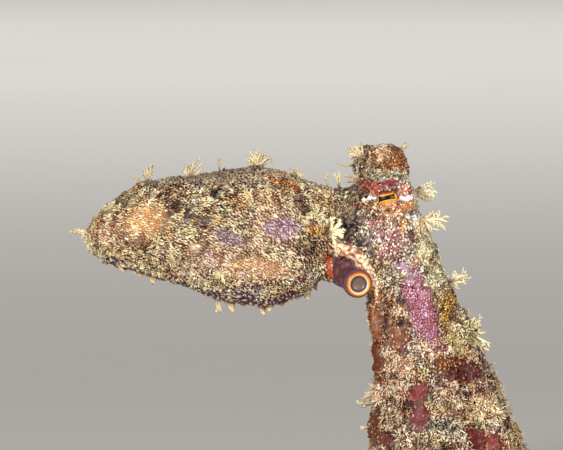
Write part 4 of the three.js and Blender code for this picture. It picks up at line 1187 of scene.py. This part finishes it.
def addStars(rows, draw):
    for number, (x, z, thick, ends) in enumerate(starTable):
        paleTone = tone(tuftPlan["star"] if number else tuftPlan["firstStar"])
        i = rootAt(x, z + markPlan["seenSlant"] * 12, -1)   # on the near flank, about 12 out
        for endX, endZ in ends:
            lean = np.array([endX - x, draw.uniform(-1.0, -.5), endZ - z])
            pale = np.clip(paleTone * draw.uniform(.85, 1.12), 0, 1)
            branch(rows, skinPoints[i] - skinNormals[i] * .1, skinPoints[i] + lean, thick,
                   (skinTone[i] * .5 + pale * .25, pale), flatOf(i), draw, 1)


def addFlaps(rows):
    rootTone, tipTone = tone(tuftPlan["flapRoot"]), tone(tuftPlan["flapTip"])
    for left, right, point in flapTable:
        middle = np.add(left, right) / 2
        i = rootAt(*middle)
        y = skinPoints[i][1]
        base = np.array([middle[0], y, middle[1]])
        up = np.array([point[0], y, point[1]]) - base
        wide = np.array([right[0] - left[0], 0, right[1] - left[1]]) / 2
        half, length = float(np.linalg.norm(wide)), float(np.linalg.norm(up))
        size = (half * 1.55, tuftPlan["flapThick"], length)
        addRow(rows, base - up * .1, up / length, wide / half, np.cross(up / length, wide / half), size,
               np.array([.2, 0, 0]), rootTone, tipTone, flatOf(i))


def dressTufts(material):
    draw = np.random.default_rng(900)
    tufts, flaps = ({key: [] for key in rowKeys} for _ in range(2))
    addTufts(tufts, draw)
    addStars(tufts, draw)
    addFlaps(flaps)
    tufts, flaps = ({key: np.array(value) for key, value in rows.items()} for rows in (tufts, flaps))
    coatPieces("tufts", finger, tufts, material, (-.2, .7))
    coatPieces("keelFlaps", flap, flaps, material, (-.1, 1.0))


# The funnel's mouth: a rolled rim round a shallow grey-brown bowl, each place a radius, a height and a tone.
mouthPlan = {"ahead": .3, "steps": 56, "rim": [
    (.02, -.9, "5e4a40"), (.9, -.88, "624e42"), (1.5, -.72, "5a463c"), (1.64, -.42, "5c4840"),
    (1.70, -.1, "a898a8"), (1.78, .06, "dcd2e4"), (1.88, .14, "e8c490"), (1.96, .18, "f0a83c"),
    (2.08, .21, "e08c28"), (2.22, .2, "c87224"), (2.36, .14, "a05a28"), (2.5, .02, "824430"),
    (2.66, -.16, "6e3c38"), (2.8, -.4, "64404e"), (2.9, -.72, "5a4468"), (2.94, -1.2, "57323a"),
    (2.9, -2.2, "57323a"), (2.4, -2.9, "57323a")]}


def funnelEnd(material):
    key = np.array([(radius, height) for radius, height, _ in mouthPlan["rim"]])
    made = outlineOf(key)
    spinRound(made, made.verts[:] + made.edges[:], mouthPlan["steps"])
    bmesh.ops.remove_doubles(made, verts=made.verts, dist=.004)
    bmesh.ops.recalc_face_normals(made, faces=made.faces)
    local = np.array([vert.co[:] for vert in made.verts])
    reach = np.hypot(local[:, 0], local[:, 1])
    nearest = np.argmin((reach[:, None] - key[:, 0]) ** 2 + (local[:, 2:3] - key[:, 1]) ** 2, axis=1)
    colours = np.array([tone(code) for _, _, code in mouthPlan["rim"]])[nearest]
    mouth = Matrix.Translation(funnelMouth + mouthPlan["ahead"] * funnelLook) @ turnTo(funnelLook)
    bmesh.ops.transform(made, matrix=intoPlace @ mouth, verts=made.verts)
    mesh = bpy.data.meshes.new("funnelMouth")
    made.to_mesh(mesh)
    mesh.shade_smooth()
    paint(mesh, "markings", colours)
    mesh.materials.append(material)
    newPiece("funnelMouth", mesh)


# Two rows of suckers under every arm, shrinking toward the tip.
suckerPlan = {"first": 46.0, "last": 1.5, "spacing": 1.25, "share": .30, "sunk": .93, "turn": 118,
              "floorGap": .05, "rim": "cdb8a8", "cup": "8c6a60",
              "outline": ((1.05, -.5), (1.0, .35), (.72, .42), (.3, .05))}


def suckerShape():
    made = outlineOf(suckerPlan["outline"])
    spinRound(made, made.verts[:] + made.edges[:], 8)
    bottom = [edge for edge in made.edges if edge.is_boundary and edge.verts[0].co.z > 0]
    bmesh.ops.contextual_create(made, geom=bottom)
    bmesh.ops.recalc_face_normals(made, faces=made.faces)
    return arraysOf(made)


def suckerRows():
    corners, faces = suckerShape()
    roots, ups, sizes = [], [], []
    for route in armRoutes:
        s = suckerPlan["first"]
        row = 0
        while s < route[-1, 0] - suckerPlan["last"]:
            x, y, z, yaw, slope, radius = (float(np.interp(s, route[:, 0], values)) for values in route.T[1:])
            side = np.array([math.sin(yaw), -math.cos(yaw), 0])
            level = math.cos(slope)
            ahead = np.array([math.cos(yaw) * level, math.sin(yaw) * level, math.sin(slope)])
            up = np.cross(side, ahead)
            turn = math.radians(suckerPlan["turn"]) * (1 if row % 2 else -1)
            facing = side * math.sin(turn) + up * math.cos(turn)
            size = suckerPlan["share"] * radius
            roots.append(np.array([x, y, z]) + facing * (radius * suckerPlan["sunk"]))
            ups.append(facing)
            sizes.append(size)
            s += size * suckerPlan["spacing"]
            row += 1
    roots, ups, sizes = np.array(roots), np.array(ups), np.array(sizes)
    side = unit(np.cross(ups, np.array([0, 0, 1.0])))
    over = np.cross(ups, side)
    local = corners[None] * sizes[:, None, None]
    points = (roots[:, None] + local[..., :1] * side[:, None] + local[..., 1:2] * over[:, None]
              + local[..., 2:] * ups[:, None])
    points[..., 2] = np.maximum(points[..., 2], suckerPlan["floorGap"])
    index = faces[None] + (np.arange(len(roots)) * len(corners))[:, None, None]
    mesh = meshFrom("suckers", points.reshape(-1, 3), index.reshape(-1, 3))
    inner = np.hypot(corners[:, 0], corners[:, 1]) < .5
    colours = np.where(inner[:, None], tone(suckerPlan["cup"]), tone(suckerPlan["rim"]))
    paint(mesh, "markings", np.tile(colours, (len(roots), 1)))
    mesh.materials.append(skinMaterial)
    newPiece("suckers", mesh)
    print("suckers:", len(roots))


def shaderFor(name):
    material = bpy.data.materials.new(name)
    material.use_nodes = True
    tree = material.node_tree
    return material, tree, tree.nodes["Principled BSDF"]


def nodeOf(tree, kind, links=(), **values):
    made = tree.nodes.new(kind)
    for key, value in values.items():
        setattr(made, key, value)
    for socket, source in dict(links).items():
        if isinstance(source, bpy.types.NodeSocket):   # a socket is linked, anything else is a plain value
            tree.links.new(source, made.inputs[socket])
        else:
            made.inputs[socket].default_value = source
    return made


def rangeOf(tree, value, low, high, fromLow=0.0, fromHigh=1.0):
    return nodeOf(tree, "ShaderNodeMapRange", {0: value, 1: low, 2: high, 3: fromLow, 4: fromHigh}).outputs[0]


def setInputs(shader, values):
    for socket, value in values.items():
        shader.inputs[socket].default_value = value


fleshPlan = {
    "wetSkin": {"roughness": .52, "grain": 1900.0, "depth": .40, "bump": .5, "gloss": .05, "scatter": .10},
    "granules": {"roughness": .40, "grain": 2600.0, "depth": .12, "bump": .1, "gloss": .2, "scatter": 0},
}


# Flesh: the markings, broken up by fine grain, with a damp gloss.
def fleshMaterial(name, roughness, grain, depth, bump, gloss, scatter):
    material, tree, shader = shaderFor(name)
    place = nodeOf(tree, "ShaderNodeTexCoord").outputs["Object"]
    marks = nodeOf(tree, "ShaderNodeAttribute", attribute_name="markings").outputs["Color"]
    noise = {"Vector": place, "Scale": grain, "Detail": 3.0, "Roughness": .6}
    fine = nodeOf(tree, "ShaderNodeTexNoise", noise).outputs[0]
    level = rangeOf(tree, fine, .32, .68, 1 - depth, 1 + depth)
    mixed = nodeOf(tree, "ShaderNodeVectorMath", {0: marks, 3: level}, operation="SCALE").outputs[0]
    tree.links.new(mixed, shader.inputs["Base Color"])
    cells = nodeOf(tree, "ShaderNodeTexVoronoi", {"Vector": place, "Scale": grain * .55}).outputs["Distance"]
    relief = nodeOf(tree, "ShaderNodeBump", {"Height": cells, "Strength": bump, "Distance": .0002}).outputs[0]
    tree.links.new(relief, shader.inputs["Normal"])
    setInputs(shader, {"Roughness": roughness, "Coat Weight": gloss, "Coat Roughness": .25,
                       "Specular IOR Level": .3, "Sheen Weight": .04, "Sheen Roughness": .35,
                       "Sheen Tint": (.35, .38, 1.0, 1)})
    if scatter:
        setInputs(shader, {"Subsurface Weight": scatter, "Subsurface Radius": (1, .4, .25),
                           "Subsurface Scale": .0006})
    return material


# The eyes, seen through the lids: a dark bar with a thin yellow line round it on an orange iris.
eyePlan = {"radius": 3.5, "barHalf": 1.62, "barHeight": .42, "barEnd": .58, "line": .11, "tilt": 11,
           "gloss": .32, "iris": "ea7a1c", "irisDeep": "b8521a", "irisTop": "6a2c1c", "speck": "f6e2c8",
           "bar": "050608", "ring": "ffb62e"}


def eyeMaterial(name, centre, look, turn):
    material, tree, shader = shaderFor(name)
    place = nodeOf(tree, "ShaderNodeTexCoord").outputs["Object"]
    at = nodeOf(tree, "ShaderNodeMapping", {"Vector": place, "Location": tuple(-inMetres(centre))}).outputs[0]
    tip = (math.atan2(look[2], -look[1]), math.radians(turn), 0)
    flat = nodeOf(tree, "ShaderNodeMapping", {"Vector": at, "Rotation": tip, "Scale": (1000, 1000, 1000)})
    parts = nodeOf(tree, "ShaderNodeSeparateXYZ", {0: flat.outputs[0]}).outputs

    def maths(kind, *values):
        return nodeOf(tree, "ShaderNodeMath", dict(enumerate(values)), operation=kind).outputs[0]

    def blend(share, a, b):
        return nodeOf(tree, "ShaderNodeMix", {0: share, 6: a, 7: b}, data_type="RGBA").outputs[2]

    # the bar widens toward its ends; away is how far a place lies outside it, in millimetres
    across, high = maths("ABSOLUTE", parts["X"]), maths("ABSOLUTE", parts["Z"])
    outward = maths("POWER", maths("DIVIDE", across, eyePlan["barHalf"]), 2.0)
    bulge = maths("MULTIPLY", outward, eyePlan["barEnd"] - eyePlan["barHeight"])
    over = maths("SUBTRACT", high, maths("ADD", bulge, eyePlan["barHeight"]))
    away = maths("MAXIMUM", maths("SUBTRACT", across, eyePlan["barHalf"]), over)
    ring = rangeOf(tree, away, eyePlan["line"], eyePlan["line"] * 1.8)
    bar = rangeOf(tree, away, 0.0, .08)
    # pale specks, thicker below
    specks = nodeOf(tree, "ShaderNodeTexNoise", {"Vector": place, "Scale": 4200.0, "Detail": 2.0}).outputs[0]
    low = rangeOf(tree, parts["Z"], -.5, -1.5, .68, .5)
    speck = rangeOf(tree, specks, low, maths("ADD", low, .05))
    deep = rangeOf(tree, away, .3, 1.4)
    top = rangeOf(tree, parts["Z"], .5, .95)
    painted = ("iris", "irisDeep", "irisTop", "speck", "bar", "ring")
    paints = {key: (*tone(eyePlan[key]), 1) for key in painted}
    iris = blend(speck, blend(deep, paints["iris"], paints["irisDeep"]), paints["speck"])
    iris = blend(top, iris, paints["irisTop"])
    shown = blend(bar, paints["bar"], blend(ring, paints["ring"], iris))
    tree.links.new(shown, shader.inputs["Base Color"])
    setInputs(shader, {"Roughness": eyePlan["gloss"], "Specular IOR Level": .18})
    return material


for name, centre, look, turn in (("eye_right", nearEye, eyeLooks[0], eyePlan["tilt"]),
                                 ("eye_left", farEye, eyeLooks[1], -eyePlan["tilt"])):
    made = bmesh.new()
    bmesh.ops.create_uvsphere(made, u_segments=48, v_segments=24, radius=eyePlan["radius"] / 1000)
    bmesh.ops.translate(made, vec=Vector(inMetres(centre)), verts=made.verts)
    ball = bpy.data.meshes.new(name)
    made.to_mesh(ball)
    ball.shade_smooth()
    ball.materials.append(eyeMaterial(name, centre, look, turn))
    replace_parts(newPiece(name + "Ball", ball), name)
print("eyes: 2")

skinMaterial, coatMaterial = (fleshMaterial(name, **values) for name, values in fleshPlan.items())
skinMesh.materials.append(skinMaterial)

bodyRegions = regionsOf(skinPoints)
coatSlots = {"mantle": "mantle_skin", "head": "head_skin", "column": "arm_skin", "arm": "arm_skin"}
for name, slot in coatSlots.items():
    dress(name, bodyRegions[name], 100 * (1 + len(name)), coatMaterial)
dressTufts(coatMaterial)
funnelEnd(coatMaterial)
suckerRows()
print("octopus dressed")

# The camera: its height in degrees, its distance in metres, the millimetres it sees across, and its aim.
viewPlan = {"elevation": 3.0, "away": 1.6, "frame": 112.6, "aim": (-20.9, 0.0, 65.0)}
# For each lamp: its place, its size and its power.
lightPlan = {"key": (-.50, -1.05, .34, .16, 15.0), "fill": (.70, -.90, .20, .3, 9.0),
             "backdrop": (0, 3.3, 2.0, 4.0, 62.0), "backdropSpread": 150,
             "world": .08, "worldTone": (1, .84, .68, 1)}


aim = Vector(inMetres(viewPlan["aim"]))


def areaLight(name, x, y, z, size, power):
    light = bpy.data.lights.new(name, "AREA")
    light.size, light.energy = size, power
    lamp = bpy.data.objects.new(name, light)
    lamp.location = (x, y, z)
    lamp.rotation_euler = (aim - lamp.location).to_track_quat("-Z", "Y").to_euler()
    lamp.visible_camera = False
    bpy.context.scene.collection.objects.link(lamp)
    return lamp


for name in ("key", "fill"):
    areaLight(name, *lightPlan[name])
backdrop = areaLight("backdrop", *lightPlan["backdrop"])
backdrop.rotation_euler = (0, 0, 0)   # it shines straight down on the floor behind
backdrop.data.spread = math.radians(lightPlan["backdropSpread"])
world = bpy.context.scene.world or bpy.data.worlds.new("world")
bpy.context.scene.world = world
world.use_nodes = True
glow = world.node_tree.nodes["Background"]
setInputs(glow, {"Color": lightPlan["worldTone"], "Strength": lightPlan["world"]})

floorPlan = {"size": 6, "grain": 3.0, "tones": ("e6e4e0", "e0deda"), "roughness": .9}
made = bmesh.new()
bmesh.ops.create_grid(made, x_segments=1, y_segments=1, size=floorPlan["size"])
ground = bpy.data.meshes.new("floor")
made.to_mesh(ground)
floor = bpy.data.objects.new("floor", ground)
bpy.context.scene.collection.objects.link(floor)
material, tree, shader = shaderFor("paleFloor")
place = nodeOf(tree, "ShaderNodeTexCoord").outputs["Object"]
grain = nodeOf(tree, "ShaderNodeTexNoise", {"Vector": place, "Scale": floorPlan["grain"]}).outputs[0]
first, second = ((*tone(code), 1) for code in floorPlan["tones"])
ramp = nodeOf(tree, "ShaderNodeMix", {0: grain, 6: first, 7: second}, data_type="RGBA")
tree.links.new(ramp.outputs[2], shader.inputs["Base Color"])
setInputs(shader, {"Roughness": floorPlan["roughness"]})
ground.materials.append(material)

lens = bpy.data.cameras.new("camera")
lens.sensor_width = 36.0
lens.lens = lens.sensor_width * viewPlan["away"] * 1000 / viewPlan["frame"]
camera = bpy.data.objects.new("camera", lens)
rise = math.radians(viewPlan["elevation"])
camera.location = aim + Vector((0, -math.cos(rise), math.sin(rise))) * viewPlan["away"]
camera.rotation_euler = (math.pi / 2 - rise, 0, 0)
bpy.context.scene.collection.objects.link(camera)
bpy.context.scene.camera = camera
bpy.context.scene.view_settings.view_transform = "Standard"
